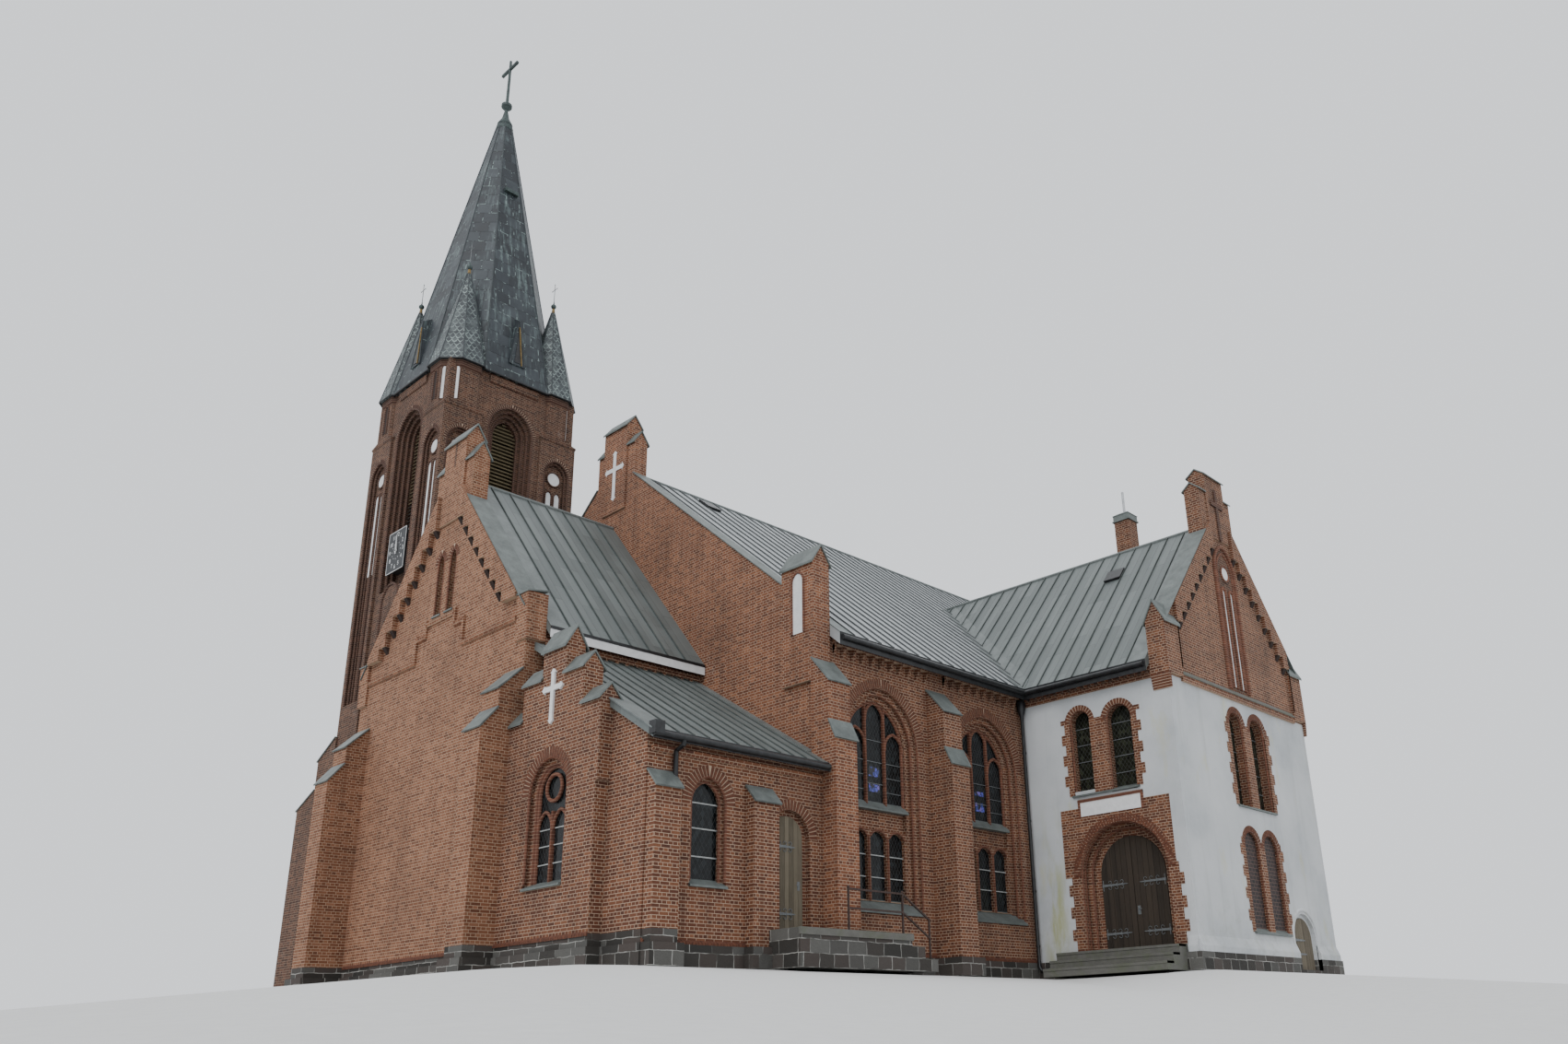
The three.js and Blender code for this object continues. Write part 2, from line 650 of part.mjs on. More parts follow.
const chancelRoof = [-1, 1].map((side) => without(
  roofSlope('x', 0, CHANCEL, CHANCEL.half + CHANCEL.eave, side, CHANCEL.east + NAVE.gable, 0),
  TOWER_CUT,
));

// Sacristy

const sacTop = (y) => SAC.ridge - SAC.slope * (Math.abs(y) - SAC.top);
const SAC_EDGE = SAC.south - SAC.eave;

// Everything above the underside of the sacristy's roof.
function aboveSacristy() {
  const drop = SAC.slab + CLEAR;
  const low = SAC_EDGE - ROOT;
  const high = -CHANCEL.half + NAVE.wall;
  const outline = [[low, sacTop(low) - drop], [high, sacTop(high) - drop], [high, FAR], [low, FAR]];
  return prism('x', outline, -FAR, FAR);
}

const SAC_BUTTRESSES = [[-5270, -4600], [-2550, -1800]];

function sacristyButtress([from, to]) {
  const b = SAC_BUTTRESS;
  const root = SAC.south + ROOT;
  const out = SAC.south - b.out;
  return prism('x', [[out, FOOT], [root, FOOT], [root, b.cap], [out, b.cap - b.drop]], from, to);
}

const frontHole = { ...SAC_WINDOW, half: SAC_WINDOW.half - 2 * SAC_WINDOW.order };

function sacristyFront() {
  const back = SAC.front + SAC.wall;
  const setBack = block(SAC.setBack, SAC.setBack + SAC.wall, SAC.south, SAC_FRONT_END, FOOT, FAR);
  const parts = [
    block(SAC.front, back, SAC_FRONT_END, -CHANCEL.half, FOOT, SAC.frontTop),
    without(setBack, aboveSacristy()),
    sacristyButtress(SAC_BUTTRESSES[0]),
  ];
  for (const step of SAC_STEPS) {
    const cap = step.ridge - step.eave;
    const south = Math.max(SAC_CENTRE - step.half, SAC_PARAPET_END);
    const north = Math.min(SAC_CENTRE + step.half, -CHANCEL.half);
    parts.push(saddle('x', south, north, SAC.front, back, SAC_WINDOW.spring, step.eave, cap));
  }
  return without(
    joined(parts),
    steppedArch('x', SAC_WINDOW, 2, SAC.front, 1),
    windowHole('x', frontHole, SAC.front - ROOT, back + ROOT),
  );
}

const sacDoorCentre = (SAC_DOOR.east + SAC_DOOR.west) / 2;
const sacDoorHalf = (SAC_DOOR.west - SAC_DOOR.east) / 2;

const SAC_INNER = SAC.south + SAC.wall;

function sacristyDoorCutters() {
  const d = SAC_DOOR;
  const inner = archOutline(sacDoorCentre, sacDoorHalf, 0, d.spring, 0);
  const outer = archOutline(sacDoorCentre, sacDoorHalf + d.order, 0, d.spring, 0);
  return [
    prism('y', inner, SAC.south - ROOT, SAC_INNER + ROOT),
    prism('y', outer, SAC.south - ROOT, SAC.south + d.depth),
  ];
}

const sacristyHinges = hinges(
  [SAC_DOOR.east + SAC_DOOR.clear, SAC.south + SAC_DOOR.depth],
  'x',
  1,
  SAC_DOOR.clear,
  SACRISTY_DOOR_HINGES,
);
const sacristyFrontWall = sacristyFront();
const sideHole = { ...SAC_SIDE_WINDOW, half: SAC_SIDE_WINDOW.half - SAC_SIDE_WINDOW.order };
const sacristySouthWall = joined(
  without(
    joined(
      block(SAC.setBack + SAC.wall, SAC_DOOR.east, SAC.south, SAC_INNER, FOOT, SAC.wallTop),
      sacristyButtress(SAC_BUTTRESSES[1]),
    ),
    sacristyFrontWall,
    aboveSacristy(),
    steppedArch('y', SAC_SIDE_WINDOW, 1, SAC.south, 1),
    windowHole('y', sideHole, SAC.south - ROOT, SAC_INNER + ROOT),
    sacristyDoorCutters(),
  ),
  sacristyHinges.fixed,
);

const sacristyDoorHead = without(
  block(SAC_DOOR.east, SAC_DOOR.west, SAC.south, SAC_INNER, SAC_DOOR.spring, SAC.wallTop),
  aboveSacristy(),
  sacristyDoorCutters(),
);

const gableCorner = -GABLE_BUTTRESS.proud;
const sacristyDoorPier = without(
  joined(
    block(SAC_DOOR.west, gableCorner, SAC.south, SAC_INNER, FOOT, SAC.wallTop),
    block(gableCorner - ROOT, 0, -NAVE.half, SAC_INNER, FOOT, SAC.wallTop),
  ),
  aboveSacristy(),
  sacristyDoorCutters(),
  naveEastGable,
);

function sacristyRoof() {
  const slab = SAC.slab;
  const profile = (south, north) => [
    [south, sacTop(south) - slab], [north, sacTop(north) - slab],
    [north, sacTop(north)], [south, sacTop(south)],
  ];
  const whole = joined(
    prism('x', profile(SAC_EDGE, -CHANCEL.half), SAC.front + SAC.wall, 0),
    prism('x', profile(SAC_EDGE, SAC_PARAPET_END), SAC.setBack - PROUD, SAC.front + SAC.wall + ROOT),
  );
  return without(whole, block(gableCorner - CLEAR, FAR, -FAR, -NAVE.half + ROOT + CLEAR, 0, FAR));
}

function sacristyDoor() {
  const d = SAC_DOOR;
  const outline = archOutline(sacDoorCentre, sacDoorHalf - d.clear, SAC_FLOOR + d.clear, d.spring, 0);
  const face = SAC.south + d.depth;
  return joined(prism('y', outline, face, face + d.thick), sacristyHinges.moving);
}

function landing(neighbours) {
  const l = LANDING;
  const parts = [
    block(l.east, l.west, l.front, SAC.south, 0, l.top),
    block(0, l.west, l.front, -NAVE.half, 0, l.top),
  ];
  for (let i = 1; i <= l.steps; i += 1) {
    const top = l.top - i * l.riser;
    parts.push(block(l.west - ROOT, l.west + i * l.going, l.front, -NAVE.half - PROUD, 0, top));
  }
  return without(joined(parts), neighbours);
}

function railing() {
  const r = RAIL;
  const top = LANDING.top + r.height;
  const half = r.bar / 2;
  const first = r.posts[0];
  const last = r.posts.at(-1);
  const footX = LANDING.west + LANDING.going * 1.5;
  const footZ = LANDING.top - LANDING.riser * 2;
  const parts = r.posts.map((x) => block(x - half, x + half, r.y - half, r.y + half, LANDING.top, top));
  parts.push(block(footX - half, footX + half, r.y - half, r.y + half, footZ, footZ + r.height));
  for (const drop of r.drops) {
    const high = top - drop;
    const low = footZ + r.height - drop;
    const bar = [[last, high - r.bar], [footX, low - r.bar], [footX, low], [last, high]];
    parts.push(block(first - half, last + half, r.y - half, r.y + half, high - r.bar, high));
    parts.push(prism('y', bar, r.y - half, r.y + half));
  }
  return joined(parts);
}

// Tower

function belfryCutters(axis, middle, face, direction, sill) {
  const opening = { ...BELFRY, centre: middle, sill };
  const hole = { ...BELFRY, centre: middle, half: BELFRY.half - 3 * BELFRY.order };
  const through = sorted(face, face + direction * (TOWER.wall + ROOT));
  return [
    ...steppedArch(axis, opening, 3, face, direction),
    windowHole(axis, hole, ...through),
  ];
}

// A square corner pier with a tall blind arch in both outer faces, and the turret above it.
function turret(corner) {
  const [sx, sy] = corner;
  const a = PIER_ARCH;
  const middle = (TOWER.pierInner + TOWER.pierOuter) / 2;
  const sideArch = { ...a, centre: TOWER.y + sy * middle, sill: sx < 0 ? a.eastSill : a.sill };
  const crossArch = { ...a, centre: TOWER.x + sx * middle };
  const body = joined(
    cornerPier(corner, 0, FOOT, TOWER.string),
    prism('z', octagon(...turretCentre(corner), TOWER.turretHalf), TOWER.string - ROOT, TOWER.eave),
  );
  return without(
    body,
    steppedArch('x', sideArch, 2, TOWER.x + sx * TOWER.pierOuter, -sx),
    steppedArch('y', crossArch, 2, TOWER.y + sy * TOWER.pierOuter, -sy),
  );
}

const towerButtressX = (side) => {
  const edge = TOWER.x + side * (TOWER.half + TOWER_BUTTRESS.proud);
  return sorted(edge, edge - side * TOWER_BUTTRESS.width);
};

function towerSide(side) {
  const face = TOWER.x + side * TOWER.half;
  const ends = sorted(face, face - side * TOWER.wall);
  const wall = block(...ends, TOWER_S, TOWER_N, FOOT, TOWER.eave);
  const parts = [
    without(wall, CORNERS.map((corner) => cornerPier(corner, 0, FOOT, TOWER.string))),
    ...CORNERS.filter(([sx]) => sx === side).map(turret),
    buttress('x', ...towerButtressX(side), TOWER_N, 1, FOOT, TOWER_BUTTRESS),
  ];
  const sill = side < 0 ? BELFRY.eastSill : BELFRY.sill;
  return without(joined(parts), belfryCutters('x', TOWER.y, face, -side, sill));
}

function towerCrossWall(side) {
  const face = TOWER.y + side * TOWER.half;
  const ends = sorted(face, face - side * TOWER.wall);
  const from = TOWER_E + TOWER.wall;
  const to = TOWER_W - TOWER.wall;
  const wall = block(from, to, ...ends, FOOT, TOWER.eave);
  const filling = block(from, 0, CHANCEL.half, TOWER_S + ROOT, FOOT, TOWER_FILLING_TOP);
  const whole = side < 0 ? joined(wall, filling) : wall;
  return without(
    whole,
    turretShafts(CLEAR, 0, FAR),
    belfryCutters('y', TOWER.x, face, -side, BELFRY.sill),
  );
}

// An octagonal louvre case behind the four openings, which narrows past the turrets.
function bellLouvres() {
  const l = LOUVRES;
  const face = TOWER.half - TOWER.wall - CLEAR;
  const slots = [];
  for (let z = l.first; z < BELFRY.spring; z += l.pitch) {
    const alongX = block(-FAR, FAR, TOWER.y - l.slotHalf, TOWER.y + l.slotHalf, z, z + l.slot);
    const alongY = block(TOWER.x - l.slotHalf, TOWER.x + l.slotHalf, -FAR, FAR, z, z + l.slot);
    slots.push(alongX, alongY);
  }
  const inner = l.corner - l.thick * Math.tan(Math.PI / 8);
  return without(
    prism('z', spireOutline(face, l.corner), l.low, l.high),
    prism('z', spireOutline(face - l.thick, inner), l.low - ROOT, l.high + ROOT),
    slots,
  );
}

// Flat-sided cone between two outlines of equally many points.
function taper(lowPoints, lowZ, highPoints, highZ) {
  const n = lowPoints.length;
  const points = [...lowPoints.map(([x, y]) => [x, y, lowZ]), ...highPoints.map(([x, y]) => [x, y, highZ])];
  const faces = [];
  for (let i = 1; i < n - 1; i += 1) {
    faces.push([0, i + 1, i], [n, n + i, n + i + 1]);
  }
  for (let i = 0; i < n; i += 1) {
    const j = (i + 1) % n;
    faces.push([i, j, n + j], [i, n + j, n + i]);
  }
  const corners = new Float32Array(faces.flat().flatMap((i) => points[i]));
  const geometry = new THREE.BufferGeometry();
  geometry.setAttribute('position', new THREE.BufferAttribute(corners, 3));
  return solid(geometry);
}

// An octagon round the tower's middle, with four wide faces and four narrow ones.
function spireOutline(face, corner) {
  const outline = [
    [face, -corner], [face, corner], [corner, face], [-corner, face],
    [-face, corner], [-face, -corner], [-corner, -face], [corner, -face],
  ];
  return outline.map(([x, y]) => [TOWER.x + x, TOWER.y + y]);
}

function spire() {
  const s = SPIRE;
  const outline = (face) => spireOutline(face, (face * s.corner) / s.face);
  const outer = [taper(outline(s.face), TOWER.eave, outline(s.neck), s.neckZ)];
  for (const [x, y] of CORNERS.map(turretCentre)) {
    outer.push(taper(octagon(x, y, s.turretR), TOWER.eave, octagon(x, y, s.tip), s.turretApex));
  }
  const inside = taper(outline(s.face - s.shell), TOWER.eave - ROOT, outline(s.hollowNeck), s.hollowTop);
  return without(joined(outer), inside);
}

function spireCross() {
  const c = CROSS;
  const profile = [
    [0, c.foot], [SPIRE.neck * 0.9, c.foot], [c.neckR, c.ball - c.ballR], [c.ballR, c.ball - c.neckR],
    [c.ballR, c.ball + c.neckR], [c.neckR, c.ball + c.ballR], [c.rod, c.top], [0, c.top],
  ];
  const lathe = new THREE.LatheGeometry(profile.map(([r, z]) => new THREE.Vector2(r, z)), 12);
  lathe.rotateX(Math.PI / 2);
  lathe.translate(TOWER.x, TOWER.y, 0);
  const across = [TOWER.x - c.rod, TOWER.x + c.rod];
  const along = [TOWER.y - c.arm, TOWER.y + c.arm];
  return joined(solid(lathe), block(...across, ...along, c.armZ - c.rod, c.armZ + c.rod));
}

// Clock on the tower's east face, set in the tall recess

const dialFace = TOWER_E + BELFRY.depth * 3;
const clockY = TOWER.y;

function drumX(radius, x0, x1, sides) {
  const points = [];
  for (let i = 0; i < sides; i += 1) {
    const angle = (2 * Math.PI * i) / sides;
    points.push([clockY + radius * Math.cos(angle), CLOCK.z + radius * Math.sin(angle)]);
  }
  return prism('x', points, x0, x1);
}

const dialFront = TOWER_E + CLOCK.proud;
const hourBack = dialFront - CLOCK.gap;
const hourFront = hourBack - CLOCK.hand;
const minuteBack = hourFront - CLOCK.gap;
const minuteFront = minuteBack - CLOCK.hand;

function clockDial() {
  const c = CLOCK;
  const y0 = clockY - c.wide / 2;
  const z0 = c.z - c.tall / 2;
  const backY = [clockY - c.backHalf, clockY + c.backHalf];
  return joined(
    block(dialFront, dialFront + c.thick, y0, y0 + c.wide, z0, z0 + c.tall),
    block(dialFront + c.thick - 1, dialFace, ...backY, z0 + c.edge, z0 + c.tall - c.edge),
    drumX(c.arbor, minuteFront - 6, dialFront + 10, c.sides),
  );
}

// The bore's flats stay clear of the arbor's corners, so that the hands turn freely
function clockHand(back, front, form) {
  const c = CLOCK;
  const bore = (c.arbor + CLEAR) / Math.cos(Math.PI / c.sides);
  const tip = form.wide / 3;
  const points = [
    [clockY - form.wide, c.z - form.tail], [clockY + form.wide, c.z - form.tail],
    [clockY + tip, c.z + form.length], [clockY - tip, c.z + form.length],
  ];
  const hand = joined(prism('x', points, front, back), drumX(c.arbor + form.boss, front, back, 16));
  return without(hand, drumX(bore, front - ROOT, back + ROOT, c.sides));
}

// Plinth and floor

function buttressFeet(z0, z1, p) {
  const feet = [];
  const sideFoot = (x0, x1, face, side, out) => {
    const ends = sorted(side * (face - PROUD), side * (face + out + p));
    feet.push(block(x0 - p, x1 + p, ...ends, z0, z1));
  };
  const middle = (BAY_CENTRES[0] + BAY_CENTRES[1]) / 2;
  const half = BAY_BUTTRESS_HALF;
  const westEnd = NAVE.west + GABLE_BUTTRESS.proud - GABLE_BUTTRESS.side;
  for (const side of [-1, 1]) {
    for (const x of [gableCorner, middle - half, NAVE.west - middle - half, westEnd]) {
      if (side < 0 || x > 0) sideFoot(x, x + 2 * half, NAVE.half, side, BUTTRESS.lower);
    }
    const c = CHANCEL_BUTTRESS;
    const corner = sorted(side * (CHANCEL.half - c.side - p), side * (CHANCEL.half + p));
    feet.push(block(CHANCEL.east - c.lower - p, CHANCEL.east, ...corner, z0, z1));
    sideFoot(...towerButtressX(side), TOWER_N, 1, TOWER_BUTTRESS.lower);
  }
  for (const [x0, x1] of SAC_BUTTRESSES) sideFoot(x0, x1, -SAC.south, -1, SAC_BUTTRESS.out);
  return feet;
}

function footprint(z0, z1, p) {
  return joined(
    block(-p, NAVE.west + p, -NAVE.half - p, NAVE.half + p, z0, z1),
    block(WING.east - p, WING.west + p, -WING.gableFace - p, WING.gableFace + p, z0, z1),
    block(CHANCEL.east - p, ROOT, -CHANCEL.half - p, CHANCEL.half + p, z0, z1),
    block(TOWER_E - p, TOWER_W + p, CHANCEL.half, TOWER_N + p, z0, z1),
    turretShafts(p, z0, z1),
    block(SAC.setBack - p, ROOT, SAC.south - p, 0, z0, z1),
    block(SAC.front - p, ROOT, SAC_FRONT_END - p, 0, z0, z1),
    buttressFeet(z0, z1, p),
  );
}

function floors() {
  const t = NAVE.wall;
  const z = FOOT - ROOT;
  const chancelHalf = CHANCEL.half - CHANCEL.wall;
  const halls = joined(
    block(NAVE.gable, NAVE.west - NAVE.gable, -NAVE.half + t, NAVE.half - t, z, FLOOR),
    block(WING.east + WING.doorWall, WING.west - WING.wall, -WING.gableInner, WING.gableInner, z, FLOOR),
    block(WING.east + WING.wall, WING.west - WING.wall, NAVE.half - t, WING.gableInner, z, FLOOR),
    block(CHANCEL.east + NAVE.gable, 0, -chancelHalf, chancelHalf, z, FLOOR),
    block(-ROOT, NAVE.gable + ROOT, -CHANCEL_ARCH.half, CHANCEL_ARCH.half, z, FLOOR),
    block(WING.east, WING.east + WING.doorWall + ROOT, DOOR.south, DOOR.north, z, FLOOR),
  );
  const vestry = joined(
    block(SAC.front + SAC.wall, 0, SAC_FRONT_END, -CHANCEL.half, z, SAC_FLOOR),
    block(SAC.setBack + SAC.wall, 0, SAC_INNER, SAC_FRONT_END + ROOT, z, SAC_FLOOR),
    block(SAC_DOOR.east, SAC_DOOR.west, SAC.south, SAC_INNER + ROOT, z, SAC_FLOOR),
  );
  return without(joined(halls, vestry), TOWER_CUT);
}

function churchBase() {
  return without(joined(footprint(0, FOOT, PROUD), floors()), smallDoorCutters(SMALL_DOOR.sill));
}

// Glazing: one sheet closes a wall's windows from inside.

const WINDOW_LAP = 80;
const NAVE_INNER = NAVE.half - NAVE.wall;

function naveGlass(from, to, side) {
  const ends = sorted(side * NAVE_INNER, side * (NAVE_INNER - GLASS));
  return block(from, to, ...ends, BAY_GLASS.lowSill - WINDOW_LAP, BAY_GLASS.top);
}

function naveEastGlass(side) {
  const reach = BAY_GLASS.half + WINDOW_LAP;
  return naveGlass(BAY_CENTRES[0] - reach, BAY_CENTRES[1] + reach, side);
}

function naveWestGlass() {
  const x = NAVE.west - NAVE.gable;
  const from = WEST_BAYS[0] - BAY_GLASS.half - WINDOW_LAP;
  const reach = WEST_SIDE_CENTRE + WEST_SIDE_WINDOW.half - WINDOW_LAP;
  const sill = WEST_WINDOW.sill - WINDOW_LAP;
  const low = block(x - GLASS, x, -NAVE_INNER, NAVE_INNER, sill, BAY_GLASS.top);
  const high = block(x - GLASS, x, -reach, reach, sill, WEST_GLASS_TOP);
  return joined(naveGlass(from, x, -1), naveGlass(from, x, 1), low, high);
}

function wingGlass(eastInner) {
  const westInner = WING.west - WING.wall;
  const depth = [-WING.gableInner, -WING.gableInner + GLASS];
  const g = WING_GLASS;
  const gable = block(eastInner, westInner, ...depth, g.sill, g.top);
  const low = block(g.lowEast, g.lowWest, ...depth, g.lowSill, g.sill + ROOT);
  const side = (from) => block(from, from + GLASS, -WING.gableInner, g.sideEnd, g.sideSill, g.sideTop);
  return joined(gable, low, side(eastInner), side(westInner - GLASS));
}

// Assembly

const COLOURS = {
  brick: [0x9c5236, 0.9, 0],
  plaster: [0xdcdcd8, 0.9, 0],
  granite: [0x77787a, 0.85, 0],
  roof: [0x77837f, 0.6, 0.3],
  slate: [0x46525a, 0.7, 0.1],
  wood: [0x6a5238, 0.8, 0],
  glass: [0x20262c, 0.25, 0.1],
  iron: [0x1c1c1e, 0.6, 0.6],
  gilt: [0xb08a3a, 0.4, 0.8],
  dial: [0xd8dadc, 0.6, 0],
  louvre: [0x8c7d4c, 0.8, 0],
};

const church = new THREE.Group();

function place(name, body, material) {
  const mesh = body.getMesh();
  const geometry = new THREE.BufferGeometry();
  geometry.setAttribute('position', new THREE.BufferAttribute(new Float32Array(mesh.vertProperties), 3));
  geometry.setIndex(new THREE.BufferAttribute(new Uint32Array(mesh.triVerts), 1));
  geometry.computeVertexNormals();
  const [color, roughness, metalness] = COLOURS[material];
  const part = new THREE.Mesh(geometry, new THREE.MeshStandardMaterial({ color, roughness, metalness }));
  part.name = name;
  church.add(part);
}

const walls = {
  nave_east_gable: naveEastGable,
  nave_west_gable: naveWestGable,
  nave_south_east_wall: naveSouthEastWall,
  nave_south_west_wall: naveSouthWestWall,
  nave_north_east_wall: naveNorthEastWall,
  nave_north_west_wall: naveNorthWestWall,
  chancel_gable: chancelGable(),
  chancel_south_wall: chancelSideWall(-1),
  chancel_north_wall: chancelSideWall(1),
  sacristy_front_wall: sacristyFrontWall,
  sacristy_south_wall: sacristySouthWall,
  sacristy_door_head: sacristyDoorHead,
  sacristy_door_pier: sacristyDoorPier,
  tower_east_wall: towerSide(-1),
  tower_west_wall: towerSide(1),
  tower_south_wall: towerCrossWall(-1),
  tower_north_wall: towerCrossWall(1),
};
const plastered = {
  south_transept_gable: southGable,
  south_transept_door_pier: doorPierWall,
  south_transept_upper_wall: doorUpperWall,
  south_transept_west_wall: wingWestWall,
  north_transept_gable: mirrored(wingGable(false)),
  north_transept_east_wall: mirrored(wingEastPlainWall),
  north_transept_west_wall: mirrored(wingWestWall),
};
for (const [name, body] of Object.entries(walls)) place(name, body, 'brick');
for (const [name, body] of Object.entries(plastered)) place(name, body, 'plaster');

const roofs = {
  nave_roof_south: naveRoof[0],
  nave_roof_north: naveRoof[1],
  south_transept_roof_east: wingRoof[0],
  south_transept_roof_west: wingRoof[1],
  north_transept_roof_east: mirrored(wingRoof[0]),
  north_transept_roof_west: mirrored(wingRoof[1]),
  chancel_roof_south: chancelRoof[0],
  chancel_roof_north: chancelRoof[1],
  sacristy_roof: sacristyRoof(),
};
for (const [name, body] of Object.entries(roofs)) place(name, body, 'roof');

const base = churchBase();
const grounded = [base, ...Object.values(walls), ...Object.values(plastered)];
place('church_base', base, 'granite');
place('sacristy_landing', landing(grounded), 'granite');
place('transept_steps', without(doorSteps(), grounded), 'granite');
place('sacristy_railing', railing(), 'iron');

place('transept_door_leaf_south', bigLeaf(-1, southHinges), 'wood');
place('transept_door_leaf_north', bigLeaf(1, northHinges), 'wood');
place('gable_door', smallDoorLeaf(), 'wood');
place('sacristy_door', sacristyDoor(), 'wood');

place('nave_south_east_glass', naveEastGlass(-1), 'glass');
place('nave_north_east_glass', naveEastGlass(1), 'glass');
place('nave_west_glass', naveWestGlass(), 'glass');
place('south_transept_glass', wingGlass(WING.east + WING.doorWall), 'glass');
place('north_transept_glass', mirrored(wingGlass(WING.east + WING.wall)), 'glass');

// A sheet that laps past a window on all four sides, flat against the wall's inner face.
function windowSheet(axis, w, face) {
  const across = [w.centre - w.half - WINDOW_LAP, w.centre + w.half + WINDOW_LAP];
  const up = [w.sill - WINDOW_LAP, w.spring + w.half + WINDOW_LAP];
  const depth = [face, face + GLASS];
  return axis === 'x' ? block(...depth, ...across, ...up) : block(...across, ...depth, ...up);
}

const lancetPair = { ...LANCET, centre: 0, half: LANCET.centre + LANCET.half };
place('chancel_glass', windowSheet('x', lancetPair, CHANCEL.east + NAVE.gable), 'glass');
place('sacristy_front_glass', windowSheet('x', frontHole, SAC.front + SAC.wall), 'glass');
place('sacristy_south_glass', windowSheet('y', sideHole, SAC_INNER), 'glass');

place('spire', spire(), 'slate');
place('spire_cross', spireCross(), 'gilt');
place('bell_louvres', bellLouvres(), 'louvre');
place('clock_dial', clockDial(), 'dial');
place('clock_minute_hand', clockHand(minuteBack, minuteFront, MINUTE_HAND), 'dial');
place('clock_hour_hand', clockHand(hourBack, hourFront, HOUR_HAND), 'dial');

function chimney() {
  const c = CHIMNEY;
  const end = c.east + c.side;
  const roof = (x) => WING_ROOF.ridge + CLEAR - WING_ROOF.slope * Math.abs(x - WING_MIDDLE);
  const outline = [[c.east, roof(c.east)], [end, roof(end)], [end, c.top], [c.east, c.top]];
  return prism('y', outline, c.south, c.south + c.side);
}

place('chimney', chimney(), 'brick');

const bounds = new THREE.Box3().setFromObject(church);
church.position.set(-(bounds.min.x + bounds.max.x) / 2, -(bounds.min.y + bounds.max.y) / 2, -bounds.min.z);

export default church;
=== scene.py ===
"""The brick church's looks: materials, roof seams, caps, windows, doors, ornament, camera and lights."""
import math

import bmesh
import bpy
from mathutils import Matrix, Vector


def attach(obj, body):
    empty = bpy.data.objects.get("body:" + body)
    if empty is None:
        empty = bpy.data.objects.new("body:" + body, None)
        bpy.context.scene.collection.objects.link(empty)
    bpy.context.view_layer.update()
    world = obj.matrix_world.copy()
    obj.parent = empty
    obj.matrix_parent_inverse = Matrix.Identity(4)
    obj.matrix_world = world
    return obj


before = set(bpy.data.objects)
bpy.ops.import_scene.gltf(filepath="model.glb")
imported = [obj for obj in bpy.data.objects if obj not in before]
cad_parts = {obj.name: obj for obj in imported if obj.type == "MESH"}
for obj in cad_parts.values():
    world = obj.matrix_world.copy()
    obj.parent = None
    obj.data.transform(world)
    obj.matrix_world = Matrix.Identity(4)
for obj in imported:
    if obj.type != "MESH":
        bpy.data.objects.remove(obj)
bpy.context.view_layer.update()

# The church is described in metres in the frame of its nave: X runs west from the nave's east
# gable, Y north from its middle line, and Z = 0 is the lowest ground. SHIFT moves it on to the part.
SHIFT = Vector((-9.8, 0.0, 0.0))
BODY = "church"

NAVE_HALF = 8.96
NAVE_WEST = 25.85
NAVE_RIDGE = 16.12
NAVE_FALL = 0.8374
NAVE_EDGE = 9.35
WALL_GABLE = 0.49
WING_EAST = 8.65
WING_WEST = 17.2
WING_MIDDLE = 12.925
WING_FACE = 13.97
WING_RIDGE = 13.65
WING_FALL = 1.174
WING_EDGE = 4.575
WING_END = 13.48
# How far north or south of the nave's middle a transept's ridge and its eaves start.
WING_RIDGE_START = 2.95
WING_EAVES_START = 9.3
WING_RAKE_FOOT = 9.32
WING_RAKE_FALL = 1.15
PLASTER_TOP = 7.8
CHANCEL_EAST = -5.4
CHANCEL_HALF = 4.36
CHANCEL_RIDGE = 13.95
CHANCEL_FALL = 1.2
CHANCEL_EDGE = 4.66
SAC_FRONT = -5.64
SAC_BACK = -5.3
SAC_SOUTH = -9.27
SAC_RIDGE = 7.89
SAC_TOP = 4.47
SAC_FALL = 0.614
SAC_EDGE = -9.58
TOWER_X = -1.2
TOWER_Y = 7.1
TOWER_HALF = 2.45
PIER_INNER = 1.15
PIER_OUTER = 2.54
PIER_MIDDLE = 1.845
TURRET = 1.74
TURRET_HALF = 0.8
STRING_Z = 18.95
EAVES_Z = 20.69
BELFRY_SPRING = 18.65
BELFRY_LEAN = 0.15
PIER_SPRING = 17.61
SPIRE_FACE = 2.6
SPIRE_NECK = 0.25
SPIRE_TOP = 33.45


# Shaders

def operator(operation, swapped=False):
    """A method that makes the Math node of an operation."""
    def method(self, other=0.0):
        return self.shader.math(operation, *((other, self) if swapped else (self, other)))
    return method


class Value:
    """A number, colour or vector in a shader. Python's operators on it make Math nodes."""

    __add__ = operator("ADD")
    __sub__ = operator("SUBTRACT")
    __rsub__ = operator("SUBTRACT", True)
    __mul__ = operator("MULTIPLY")
    __truediv__ = operator("DIVIDE")
    __mod__ = operator("FLOORED_MODULO")
    __lt__ = operator("LESS_THAN")
    __gt__ = operator("GREATER_THAN")
    __abs__ = operator("ABSOLUTE")
    floor = operator("FLOOR")
    fract = operator("FRACT")
    root = operator("SQRT")
    larger = operator("MAXIMUM")

    def __init__(self, shader, socket):
        self.shader = shader
        self.socket = socket


